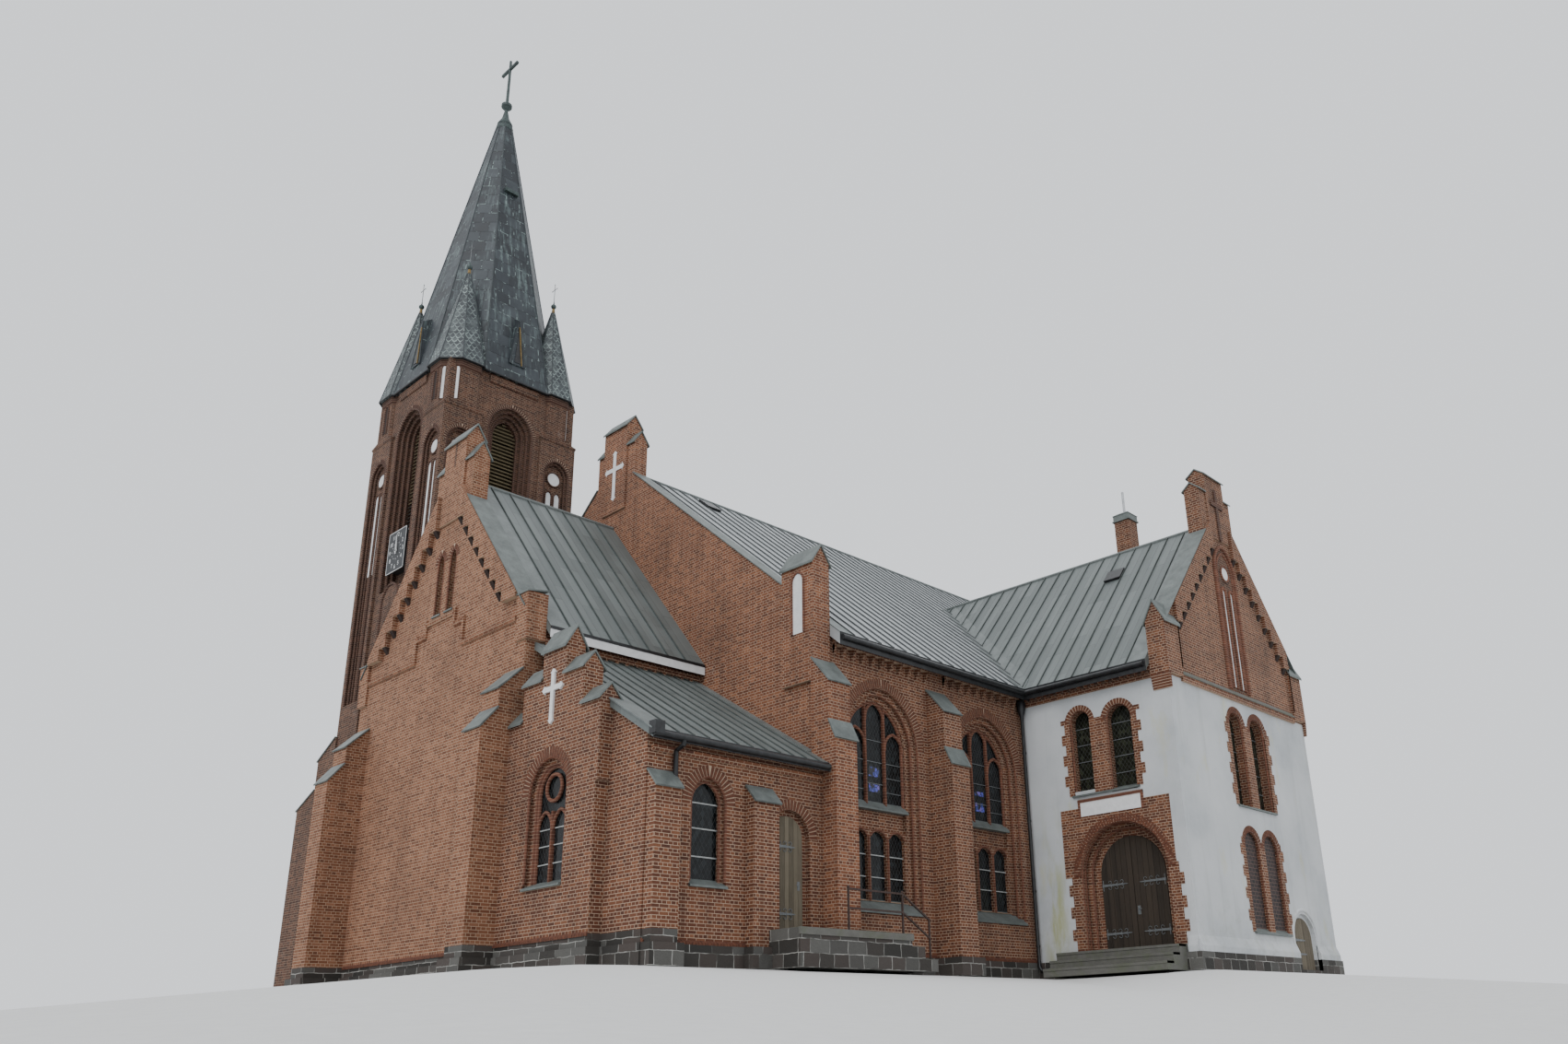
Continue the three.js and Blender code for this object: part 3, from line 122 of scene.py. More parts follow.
class Shader:
    """Builds one node material. Inputs may be plain numbers, plain colours or Values."""

    def __init__(self, name, **fixed):
        self.material = bpy.data.materials.new(name)
        self.material.use_nodes = True
        self.nodes = self.material.node_tree.nodes
        self.links = self.material.node_tree.links
        self.nodes.clear()
        out = self.nodes.new("ShaderNodeOutputMaterial")
        self.surface = self.nodes.new("ShaderNodeBsdfPrincipled")
        self.links.new(self.surface.outputs[0], out.inputs[0])
        for key, value in fixed.items():
            self.surface.inputs[key].default_value = value

    def plug(self, socket, value):
        if isinstance(value, Value):
            self.links.new(value.socket, socket)
        elif socket.type == "RGBA":
            socket.default_value = (*value, 1.0)
        else:
            socket.default_value = value

    def node(self, kind, inputs, outputs=(0,), **settings):
        """Makes a node and gives the Values of the outputs asked for."""
        node = self.nodes.new("ShaderNode" + kind)
        for key, value in settings.items():
            setattr(node, key, value)
        for key, value in inputs.items():
            self.plug(node.inputs[key], value)
        values = [Value(self, node.outputs[output]) for output in outputs]
        return values[0] if len(values) == 1 else values

    def math(self, operation, a, b):
        return self.node("Math", {0: a, 1: b}, operation=operation)

    def vector(self, operation, a, b=(0.0, 0.0, 0.0)):
        output = "Value" if operation == "DOT_PRODUCT" else "Vector"
        return self.node("VectorMath", {0: a, 1: b}, (output,), operation=operation)

    def parts(self, point):
        return self.node("SeparateXYZ", {0: point}, (0, 1, 2))

    def combine(self, x, y, z=0.0):
        return self.node("CombineXYZ", {0: x, 1: y, 2: z})

    def mix(self, factor, a, b, blend="MIX"):
        """Colour a where the factor is 0, and b where it is 1."""
        return self.node("Mix", {0: factor, 6: a, 7: b}, (2,), data_type="RGBA", blend_type=blend)

    def between(self, factor, a, b):
        """Number a where the factor is 0, and b where it is 1."""
        return self.node("Mix", {0: factor, 2: a, 3: b})

    def noise(self, vector, scale, detail=3.0, roughness=0.55):
        inputs = {"Vector": vector, "Scale": scale, "Detail": detail, "Roughness": roughness}
        return self.node("TexNoise", inputs)

    def streaks(self, point, stretch, detail, roughness=0.55):
        """Noise with a scale of its own in each direction."""
        return self.noise(self.vector("MULTIPLY", point, stretch), 1.0, detail, roughness)

    def random(self, place, dimensions="1D"):
        """One random number for each place."""
        socket = 1 if dimensions == "1D" else 0
        return self.node("TexWhiteNoise", {socket: place}, noise_dimensions=dimensions)

    def bricks(self, u, v, size, joint, soft, grey=0.5, offset=0.5, squash=1.0, every=2):
        """Each brick's own tone, and the joints. Size is a brick's length and a course's height."""
        inputs = {
            "Vector": self.combine(u, v), "Color1": (0.0, 0.0, 0.0), "Color2": (1.0, 1.0, 1.0),
            "Mortar": (grey, grey, grey), "Scale": 1.0, "Mortar Size": joint, "Mortar Smooth": soft,
            "Brick Width": size[0], "Row Height": size[1],
        }
        settings = {"offset_frequency": 2, "squash_frequency": every}
        return self.node("TexBrick", inputs, ("Color", "Fac"), offset=offset, squash=squash, **settings)

    def ramp(self, factor, stops, interpolation="LINEAR"):
        """A colour for each number, from (number, colour) stops."""
        colour = self.node("ValToRGB", {0: factor})
        scale = colour.socket.node.color_ramp
        scale.interpolation = interpolation
        while len(scale.elements) < len(stops):
            scale.elements.new(0.5)
        for element, (position, tone) in zip(scale.elements, stops):
            element.position = position
            element.color = (*tone, 1.0)
        return colour

    def band(self, value, low, high):
        """0 below low, 1 above high."""
        return self.node("MapRange", {0: value, 1: low, 2: high, 3: 0.0, 4: 1.0})

    def bump(self, height, distance, strength):
        inputs = {"Height": height, "Distance": distance, "Strength": strength}
        self.plug(self.surface.inputs["Normal"], self.node("Bump", inputs))

    def finish(self, colour, roughness=None):
        self.plug(self.surface.inputs["Base Color"], colour)
        if roughness is not None:
            self.plug(self.surface.inputs["Roughness"], roughness)
        return self.material


def face_coordinates(s):
    """Metres along and up a flat face, whichever way it looks, and the point itself."""
    normal, point = s.node("TexCoord", {}, ("Normal", "Object"))
    across = s.vector("NORMALIZE", s.vector("CROSS_PRODUCT", (0.0, 0.0, 1.0), normal))
    up = s.vector("CROSS_PRODUCT", normal, across)
    return s.vector("DOT_PRODUCT", point, across), s.vector("DOT_PRODUCT", point, up), point


COURSE = 0.0745
BRICK_LENGTH = 0.24
STONE = (0.58, 0.29)
SPIRE_SHEET = (0.56, 0.5)
SPIRELET_SCALE = (0.2, 0.17)
SPIRELET_TIP = 24.98
SPIRELET_TAPER = 0.2445


def brick_layers(s, tones, mortar, soot_and_painted_shade):
    """Colour and relief height of brickwork, in courses of stretchers and headers by turns."""
    u, v, point = face_coordinates(s)
    tone, joint = s.bricks(u, v, (BRICK_LENGTH, COURSE), 0.0066, 0.12, squash=0.5)
    fine = s.noise(point, 26.0, 4.0)
    bricks = s.ramp(tone * 0.8 + fine * 0.25, tones)
    lime = s.mix(s.noise(point, 7.0), [c * 0.8 for c in mortar], mortar)
    colour = s.mix(joint, bricks, lime)
    # Patches and vertical runs of soot darken the brick, by the given weight.
    patches = s.band(s.noise(point, 0.5, 5.0, 0.6), 0.45, 0.75)
    colour = s.mix(patches * soot_and_painted_shade, colour, (0.5, 0.49, 0.5), "MULTIPLY")
    runs = s.band(s.streaks(point, (2.6, 2.6, 0.22), 4.0), 0.55, 0.8)
    colour = s.mix(runs * soot_and_painted_shade, colour, (0.45, 0.44, 0.45), "MULTIPLY")
    pale = s.band(s.noise(point, 1.7, 6.0, 0.7), 0.62, 0.8)
    colour = s.mix(pale * 0.22, colour, (0.4, 0.34, 0.3))
    return colour, fine * 0.35 - joint


RED_TONES = [
    (0.0, (0.045, 0.017, 0.01)), (0.2, (0.085, 0.027, 0.013)), (0.55, (0.125, 0.041, 0.019)),
    (0.85, (0.165, 0.06, 0.027)), (1.0, (0.24, 0.1, 0.05)),
]
# The nave gables' brick is the wall brick made 1.35 times brighter: painted light of the lit east gable face,
# used on the west gable too.
LIT_NAVE_TONES = [(place, tuple(c * 1.35 for c in colour)) for place, colour in RED_TONES]
# Paler tones for the chancel gable, whose lightness stands in for the light on its east face: painted light.
LIT_PALE_TONES = [
    (0.0, (0.08, 0.028, 0.014)), (0.25, (0.15, 0.053, 0.025)), (0.6, (0.2, 0.078, 0.038)),
    (1.0, (0.28, 0.125, 0.068)),
]
DARK_TONES = [
    (0.0, (0.028, 0.013, 0.009)), (0.3, (0.055, 0.022, 0.013)), (0.65, (0.085, 0.034, 0.019)),
    (1.0, (0.14, 0.063, 0.036)),
]
MORTAR = (0.47, 0.34, 0.24)
HIGH_FOOT = 0.72


def brick_material(name, tones, mortar=MORTAR, soot_and_painted_shade=0.55, foot=0.0):
    """Brickwork, with granite below the given height."""
    s = Shader(name, Roughness=0.92)
    colour, height = brick_layers(s, tones, mortar, soot_and_painted_shade)
    if foot:
        u, v, point = face_coordinates(s)
        stones, relief = granite_layers(s, u, v, point)
        low = s.parts(point)[2] < foot
        colour = s.mix(low, colour, stones)
        height = s.between(low, height, relief * 3.0)
    s.bump(height, 0.008, 0.7)
    return s.finish(colour)


def moulded_material(name, dark, light):
    """Moulded brick: short lengths of their own tone with pale joints between them."""
    s = Shader(name, Roughness=0.88)
    _, _, point = face_coordinates(s)
    level = s.parts(point)[2] / COURSE
    own = s.random(level.floor())
    cloud = s.noise(point, 9.0, 5.0, 0.65)
    colour = s.ramp(own * 0.45 + cloud * 0.6, [(0.2, dark), (0.85, light)])
    joint = s.band(abs(level.fract() - 0.5), 0.42, 0.47)
    s.bump(cloud * 0.4 - joint, 0.006, 0.6)
    return s.finish(s.mix(joint * 0.5, colour, MORTAR))


def plaster_layers(s, point, v):
    """Colour of the lime plaster, with damp patches, runs and lichen, and its fine relief."""
    colour = s.ramp(s.noise(point, 0.35, 6.0, 0.6), [
        (0.25, (0.34, 0.36, 0.375)), (0.5, (0.49, 0.505, 0.515)), (0.75, (0.58, 0.59, 0.595)),
    ])
    runs = s.band(s.streaks(point, (3.2, 3.2, 0.16), 5.0, 0.65), 0.55, 0.75)
    colour = s.mix(runs * 0.5, colour, (0.36, 0.37, 0.36))
    spots = s.band(v, 2.6, 0.3) * s.band(s.noise(point, 2.2, 6.0, 0.7), 0.5, 0.68)
    colour = s.mix(spots * 0.5, colour, (0.3, 0.31, 0.27))
    lichen = s.band(s.streaks(point, (1.3, 1.3, 0.5), 5.0, 0.6), 0.6, 0.72)
    colour = s.mix(lichen * 0.4, colour, (0.5, 0.48, 0.24))
    return colour, s.noise(point, 34.0, 5.0)


def plaster_material(name):
    s = Shader(name, Roughness=0.9)
    _, v, point = face_coordinates(s)
    colour, fine = plaster_layers(s, point, v)
    s.bump(fine, 0.01, 0.35)
    return s.finish(colour)


def inside_box(parts, box):
    """One inside a box of the part's coordinates, and nothing outside it."""
    inside = None
    for part, (low, high) in zip(parts, box):
        both = (part > low) * (part < high)
        inside = both if inside is None else inside * both
    return inside


def transept_material(name, recesses):
    """Plaster below, brick above its top edge and in the openings' reveals."""
    s = Shader(name, Roughness=0.9)
    _, v, point = face_coordinates(s)
    plaster, fine = plaster_layers(s, point, v)
    bricks, height = brick_layers(s, RED_TONES, MORTAR, 0.7)
    parts = s.parts(point)
    algae = s.band(abs(abs(parts[1]) - 9.7), 0.55, 0.15) * s.band(parts[2], 5.2, 2.0)
    algae = algae * s.band(s.streaks(point, (3.0, 3.0, 0.8), 5.0), 0.42, 0.6)
    plaster = s.mix(algae * 0.75, plaster, (0.34, 0.35, 0.13))
    mask = parts[2] > PLASTER_TOP
    for box in recesses:
        mask = mask.larger(inside_box(parts, box))
    s.bump(s.between(mask, fine * 0.4, height), 0.008, 0.6)
    return s.finish(s.mix(mask, plaster, bricks))


def granite_layers(s, u, v, point):
    """Rough blocks of granite with pale joints: colour and relief."""
    u = u + (s.noise(point, 2.3, 2.0) - 0.5) * 0.09
    v = v + (s.noise(point, 3.1, 2.0) - 0.5) * 0.06
    tone, mortar = s.bricks(u, v, STONE, 0.012, 0.4, offset=0.45, squash=0.8, every=3)
    fine = s.noise(point, 38.0, 5.0, 0.7)
    stones = s.ramp(tone * 0.75 + fine * 0.3, [
        (0.0, (0.014, 0.013, 0.011)), (0.3, (0.03, 0.027, 0.023)), (0.5, (0.055, 0.042, 0.036)),
        (0.7, (0.06, 0.058, 0.053)), (1.0, (0.12, 0.117, 0.106)),
    ])
    white = s.band(s.noise(point, 1.6, 4.0, 0.7), 0.38, 0.6)
    lime = s.mix(white, (0.07, 0.068, 0.06), (0.36, 0.355, 0.33))
    return s.mix(mortar, stones, lime), s.noise(point, 6.0, 5.0, 0.65) - mortar * 0.6


def granite_material(name):
    s = Shader(name, Roughness=0.85)
    u, v, point = face_coordinates(s)
    colour, height = granite_layers(s, u, v, point)
    s.bump(height, 0.03, 0.7)
    return s.finish(colour)


def slab_material(name, dark, light, moss):
    """Cut stone with moss on it."""
    s = Shader(name, Roughness=0.88)
    _, _, point = face_coordinates(s)
    colour = s.mix(s.noise(point, 5.0, 6.0, 0.65), dark, light)
    green = s.band(s.noise(point, 2.4, 5.0, 0.65), 0.45, 0.68)
    s.bump(s.noise(point, 24.0, 5.0, 0.7), 0.01, 0.6)
    return s.finish(s.mix(green * 0.6, colour, moss))


def sheet_material(name, dark, light, spacing):
    """Standing seam sheet: panels of their own shade, cross joints, and runs down the slope."""
    s = Shader(name, Metallic=0.25, Roughness=0.5)
    u, v, point = face_coordinates(s)
    tone, joint = s.bricks(v, u, (1.9, spacing), 0.008, 0.3, 0.2, 0.37)
    cloud = s.noise(point, 0.8, 6.0, 0.65)
    runs = s.noise(s.combine(u * 9.0, v * 0.5), 1.0, 4.0)
    colour = s.ramp(tone * 0.22 + cloud * 0.5 + runs * 0.35, [(0.22, dark), (0.85, light)])
    colour = s.mix(joint * 0.55, colour, [c * 0.45 for c in dark])
    spots = s.band(s.noise(point, 11.0, 4.0, 0.7), 0.66, 0.74)
    colour = s.mix(spots * 0.25, colour, (0.3, 0.32, 0.3))
    s.bump(s.noise(point, 1.6, 3.0) + joint * -0.6, 0.012, 0.5)
    return s.finish(colour, s.band(cloud, -0.6, 1.5))


def plain_sheet_material(name, dark, light):
    s = Shader(name, Metallic=0.2, Roughness=0.55)
    _, _, point = face_coordinates(s)
    cloud = s.noise(point, 3.0, 6.0, 0.65)
    spots = s.noise(point, 22.0, 4.0)
    s.bump(spots, 0.004, 0.5)
    return s.finish(s.ramp(cloud * 0.75 + spots * 0.25, [(0.3, dark), (0.75, light)]))


def sheathing_layers(s, u, v, point):
    """Dark metal sheets, with verdigris marks at their joints and runs below them."""
    tone, joint = s.bricks(u, v, SPIRE_SHEET, 0.016, 0.3, 0.4)
    cloud = s.noise(point, 1.4, 5.0, 0.65)
    colour = s.ramp(tone * 0.45 + cloud * 0.65, [
        (0.2, (0.006, 0.009, 0.013)), (0.5, (0.015, 0.021, 0.027)), (0.85, (0.037, 0.047, 0.055)),
    ])
    runs = s.noise(s.combine(u * 7.0, v * 0.9), 1.0, 6.0, 0.7)
    share = s.band(s.parts(point)[2], 20.0, 27.0) + 0.35
    wash = s.band(runs, 0.5, 0.64) * s.band(s.noise(point, 0.7, 4.0), 0.4, 0.58)
    colour = s.mix(wash * share * 0.62, colour, (0.15, 0.205, 0.2))
    edges = joint * s.band(s.noise(point, 4.5, 3.0), 0.56, 0.46)
    colour = s.mix(edges * 0.8, colour, (0.008, 0.01, 0.013))
    marks = joint * s.band(s.noise(point, 5.5, 3.0), 0.52, 0.6)
    colour = s.mix(marks * 0.85, colour, (0.24, 0.31, 0.3))
    return colour, cloud * 0.6 - (joint + (v / SPIRE_SHEET[1]).fract())


def scale_layers(s, u, v, point):
    """Round-ended plates in rows, dark with a pale worn edge."""
    level = v / SPIRELET_SCALE[1]
    rise = level.fract()
    place = u / SPIRELET_SCALE[0] + level.floor() % 2.0 * 0.5
    across = place.fract() - 0.5
    own = s.random(s.combine(place.floor(), level.floor()), "2D")
    line = s.band(abs(rise - (across * across * 3.0 + 0.1)), 0.2, 0.05)
    dark = s.ramp(own, [
        (0.0, (0.018, 0.023, 0.028)), (0.6, (0.04, 0.05, 0.055)), (1.0, (0.075, 0.09, 0.092)),
    ])
    wear = s.band(s.noise(point, 2.2, 5.0, 0.7), 0.4, 0.62)
    pale = s.mix(wear, (0.06, 0.075, 0.075), (0.3, 0.37, 0.35))
    return s.mix(line * 0.9, dark, pale), own * 0.4 - rise


def spire_material(name):
    """Sheets on the spire, and scales on the four spirelets round its foot."""
    s = Shader(name, Roughness=0.55, Metallic=0.1)
    u, v, point = face_coordinates(s)
    x, y, z = s.parts(point)
    dx = abs(x - (TOWER_X + SHIFT.x)) - TURRET
    dy = abs(y - TOWER_Y) - TURRET
    mask = (dx * dx + dy * dy).root() < (SPIRELET_TIP - z) * SPIRELET_TAPER
    sheets, laps = sheathing_layers(s, u, v, point)
    scales, ends = scale_layers(s, u, v, point)
    s.bump(s.between(mask, laps, ends), 0.014, 0.8)
    return s.finish(s.mix(mask, sheets, scales))


def wood_material(name, dark, light, board):
    """Weathered boards, upright, each of its own tone."""
    s = Shader(name, Roughness=0.85)
    u, v, point = face_coordinates(s)
    own = s.random((u / board).floor())
    grain = s.noise(s.combine(u * 60.0, v * 2.2, own), 1.0, 5.0)
    stain = s.noise(point, 1.8, 5.0, 0.6)
    s.bump(grain, 0.004, 0.8)
    return s.finish(s.ramp(grain * 0.5 + own * 0.3 + stain * 0.3, [(0.25, dark), (0.85, light)]))


def glass_material(name, tint, wide=0.115, tall=0.19):
    """Leaded diamond panes, dark from outside."""
    s = Shader(name, Roughness=0.12, IOR=1.3)
    u, v, _ = face_coordinates(s)
    rising = u / wide + v / tall
    falling = u / wide - v / tall
    first, second = [s.band(abs(value.fract() - 0.5), 0.455, 0.48) for value in (rising, falling)]
    lines = first.larger(second)
    own = s.random(s.combine(rising.floor(), falling.floor()), "2D")
    panes = s.ramp(own, [
        (0.0, [c * 0.35 for c in tint]), (0.8, tint), (1.0, [c * 2.2 for c in tint]),
    ])
    s.bump(own * 0.4 + lines, 0.006, 0.6)
    return s.finish(s.mix(lines, panes, (0.05, 0.053, 0.053)), s.between(lines, 0.16, 0.6))


def stained_material(name):
    """A few blue and violet panes among the dark ones."""
    s = Shader(name, Roughness=0.2)
    _, _, point = face_coordinates(s)
    cells = {"Vector": point, "Scale": 11.0}
    colour = s.ramp(s.random(s.node("TexVoronoi", cells, ("Color",)), "3D"), [
        (0.0, (0.01, 0.012, 0.02)), (0.35, (0.035, 0.05, 0.22)), (0.6, (0.08, 0.09, 0.45)),
        (0.85, (0.16, 0.12, 0.4)), (1.0, (0.3, 0.32, 0.6)),
    ], "CONSTANT")
    edge = s.node("TexVoronoi", cells, ("Distance",), feature="DISTANCE_TO_EDGE")
    lead = s.band(edge, 0.06, 0.03)
    s.bump(lead, 0.004, 0.5)
    return s.finish(s.mix(lead, colour, (0.02, 0.02, 0.022)))


def grille_material(name):
    """A lattice of dark tiles on edge over the lower gable windows; the openings between the tiles are
    painted near black, as the shade behind them.
    """
    s = Shader(name, Roughness=0.7)
    u, v, point = face_coordinates(s)
    tone, joint = s.bricks(u, v, (0.2, 0.11), 0.012, 0.1)
    painted_hole_shade = s.ramp(tone, [(0.0, (0.012, 0.01, 0.01)), (1.0, (0.035, 0.022, 0.02))])
    s.bump(joint + s.noise(point, 30.0), 0.02, 0.8)
    return s.finish(s.mix(joint, painted_hole_shade, (0.1, 0.06, 0.05)))


def paint_material(name, colour, other, roughness=0.6, metal=0.0, scale=6.0):
    """A painted or plain surface with wear in it."""
    s = Shader(name, Roughness=roughness, Metallic=metal)
    _, _, point = face_coordinates(s)
    wear = s.band(s.noise(point, scale, 6.0, 0.65), 0.35, 0.7)
    s.bump(s.noise(point, 40.0, 3.0), 0.003, 0.4)
    return s.finish(s.mix(wear, colour, other))


MATERIALS = {
    "brick": brick_material("brick_walls", RED_TONES),
    "lit_brick_nave": brick_material("lit_brick_nave", LIT_NAVE_TONES),
    "brick_foot": brick_material("brick_on_granite", RED_TONES, MORTAR, 0.55, HIGH_FOOT),
    "lit_brick_pale": brick_material("lit_brick_chancel", LIT_PALE_TONES, (0.47, 0.335, 0.225), 0.5, HIGH_FOOT),
    "brick_dark": brick_material("brick_tower", DARK_TONES, (0.27, 0.19, 0.135), 0.6),
    "moulded": moulded_material("moulded_brick", (0.08, 0.027, 0.016), (0.17, 0.06, 0.032)),
    "moulded_dark": moulded_material("moulded_tower_brick", (0.036, 0.016, 0.011), (0.08, 0.032, 0.02)),
    "voussoir": paint_material("arch_brick", (0.065, 0.022, 0.012), (0.16, 0.055, 0.027), 0.88, 0.0, 14.0),
    "voussoir_dark": paint_material(
        "tower_arch_brick", (0.04, 0.017, 0.011), (0.095, 0.04, 0.024), 0.88, 0.0, 14.0
    ),
    # Near-black paint for shade: the painted shadow under the verge corbels and in the turret slits.
    "soot_and_painted_shade": paint_material("painted_shade_brick", (0.014, 0.008, 0.006), (0.036, 0.018, 0.013), 0.92, 0.0, 12.0),
    "mortar": paint_material("lime_mortar", (0.36, 0.265, 0.19), (0.5, 0.375, 0.27), 0.95),
    "plaster": plaster_material("lime_plaster"),
    "white": paint_material("white_panel", (0.62, 0.62, 0.62), (0.74, 0.74, 0.74), 0.85),
    "granite": granite_material("granite_blocks"),
    "steps": slab_material("cut_stone", (0.07, 0.07, 0.062), (0.16, 0.155, 0.14), (0.085, 0.1, 0.055)),
    "nave_sheet": sheet_material("nave_sheet", (0.26, 0.28, 0.287), (0.45, 0.47, 0.475), 0.5),
    "nave_seam": plain_sheet_material("nave_seam", (0.05, 0.055, 0.058), (0.11, 0.118, 0.12)),
    "sheet": sheet_material("roof_sheet", (0.085, 0.1, 0.098), (0.19, 0.212, 0.206), 0.6),
    "seam": plain_sheet_material("roof_seam", (0.045, 0.054, 0.051), (0.1, 0.115, 0.11)),
    "cap": plain_sheet_material("cap_sheet", (0.07, 0.082, 0.078), (0.19, 0.215, 0.205)),
    "flash": plain_sheet_material("flashing", (0.11, 0.125, 0.122), (0.21, 0.232, 0.226)),
    "slate": spire_material("spire_sheets"),
    "hip": plain_sheet_material("hip_sheet", (0.022, 0.027, 0.032), (0.065, 0.078, 0.082)),
    "gutter": paint_material("black_gutter", (0.012, 0.012, 0.013), (0.03, 0.032, 0.034), 0.4, 0.3),
    "iron": paint_material("wrought_iron", (0.03, 0.02, 0.018), (0.09, 0.055, 0.045), 0.65, 0.4, 20.0),
    "hinge": paint_material("hinge_iron", (0.1, 0.11, 0.115), (0.2, 0.21, 0.215), 0.55, 0.3, 24.0),
    "glass": glass_material("leaded_glass", (0.009, 0.011, 0.012)),
    "wing_glass": glass_material("leaded_glass_green", (0.017, 0.019, 0.012), 0.12, 0.17),
    "stained": stained_material("stained_glass"),
    "bar": paint_material("window_bar", (0.26, 0.27, 0.265), (0.42, 0.43, 0.42), 0.7),
    "grille": grille_material("tile_grille"),
    "door_pale": wood_material("weathered_boards", (0.06, 0.048, 0.031), (0.19, 0.16, 0.112), 0.14),
    "door_dark": wood_material("dark_boards", (0.012, 0.0085, 0.0055), (0.045, 0.032, 0.021), 0.16),
    "louvre": wood_material("louvre_boards", (0.09, 0.07, 0.037), (0.24, 0.19, 0.105), 4.0),
    "louvre_dark": wood_material("lower_louvre_boards", (0.02, 0.017, 0.013), (0.055, 0.046, 0.034), 4.0),
    "gilt": paint_material("worn_gilt", (0.1, 0.065, 0.022), (0.3, 0.2, 0.07), 0.5, 0.5, 18.0),
    "patina": paint_material("verdigris", (0.03, 0.042, 0.042), (0.075, 0.105, 0.1), 0.6, 0.3, 9.0),
    "dial": paint_material("dial_black", (0.014, 0.015, 0.017), (0.03, 0.032, 0.035), 0.5),
    "dial_white": paint_material("dial_white", (0.62, 0.63, 0.63), (0.75, 0.75, 0.75), 0.5),
    "pale_pipe": paint_material("pale_pipe", (0.4, 0.41, 0.42), (0.55, 0.56, 0.57), 0.45, 0.3),
}
DOORWAY = [
    (WING_EAST + SHIFT.x + 0.003, WING_EAST + SHIFT.x + 0.94), (-13.9, -10.2), (0.6, 4.6),
]


def window_recesses(side):
    """Boxes round the reveals of a transept's windows."""
    east, west = WING_EAST + SHIFT.x, WING_WEST + SHIFT.x
    across = sorted((side * 10.5, side * 12.8))
    gable = sorted((side * (WING_FACE - 0.003), side * (WING_FACE - 0.5)))
    return [
        [(11.9 + SHIFT.x, 14.3 + SHIFT.x), gable, (1.0, 7.6)],
        [(east + 0.003, east + 0.5), across, (4.85, 7.6)],
        [(west - 0.5, west - 0.003), across, (4.85, 7.6)],
    ]


MATERIALS["transept"] = transept_material("plaster_and_brick", window_recesses(-1) + [DOORWAY])
MATERIALS["north_transept"] = transept_material("plaster_and_brick_north", window_recesses(1))


# How thick cap sheets look.
SHEET_UP = 0.035
# How far sheets and seams reach into the slope that they lie on.
SINK = 0.01


def turns(count, shift=0):
    """Evenly spaced angles of a full turn."""
    return [2 * math.pi * (k + shift) / count for k in range(count)]


class Wall:
    """A wall's face: u runs along it, z up, and d outward from it."""

    def __init__(self, axis, side, plane):
        self.axis = axis
        self.side = side
        self.plane = plane

    def at(self, u, z, d):
        out = self.plane + self.side * d
        return Vector((out, u, z)) if self.axis == "x" else Vector((u, out, z))


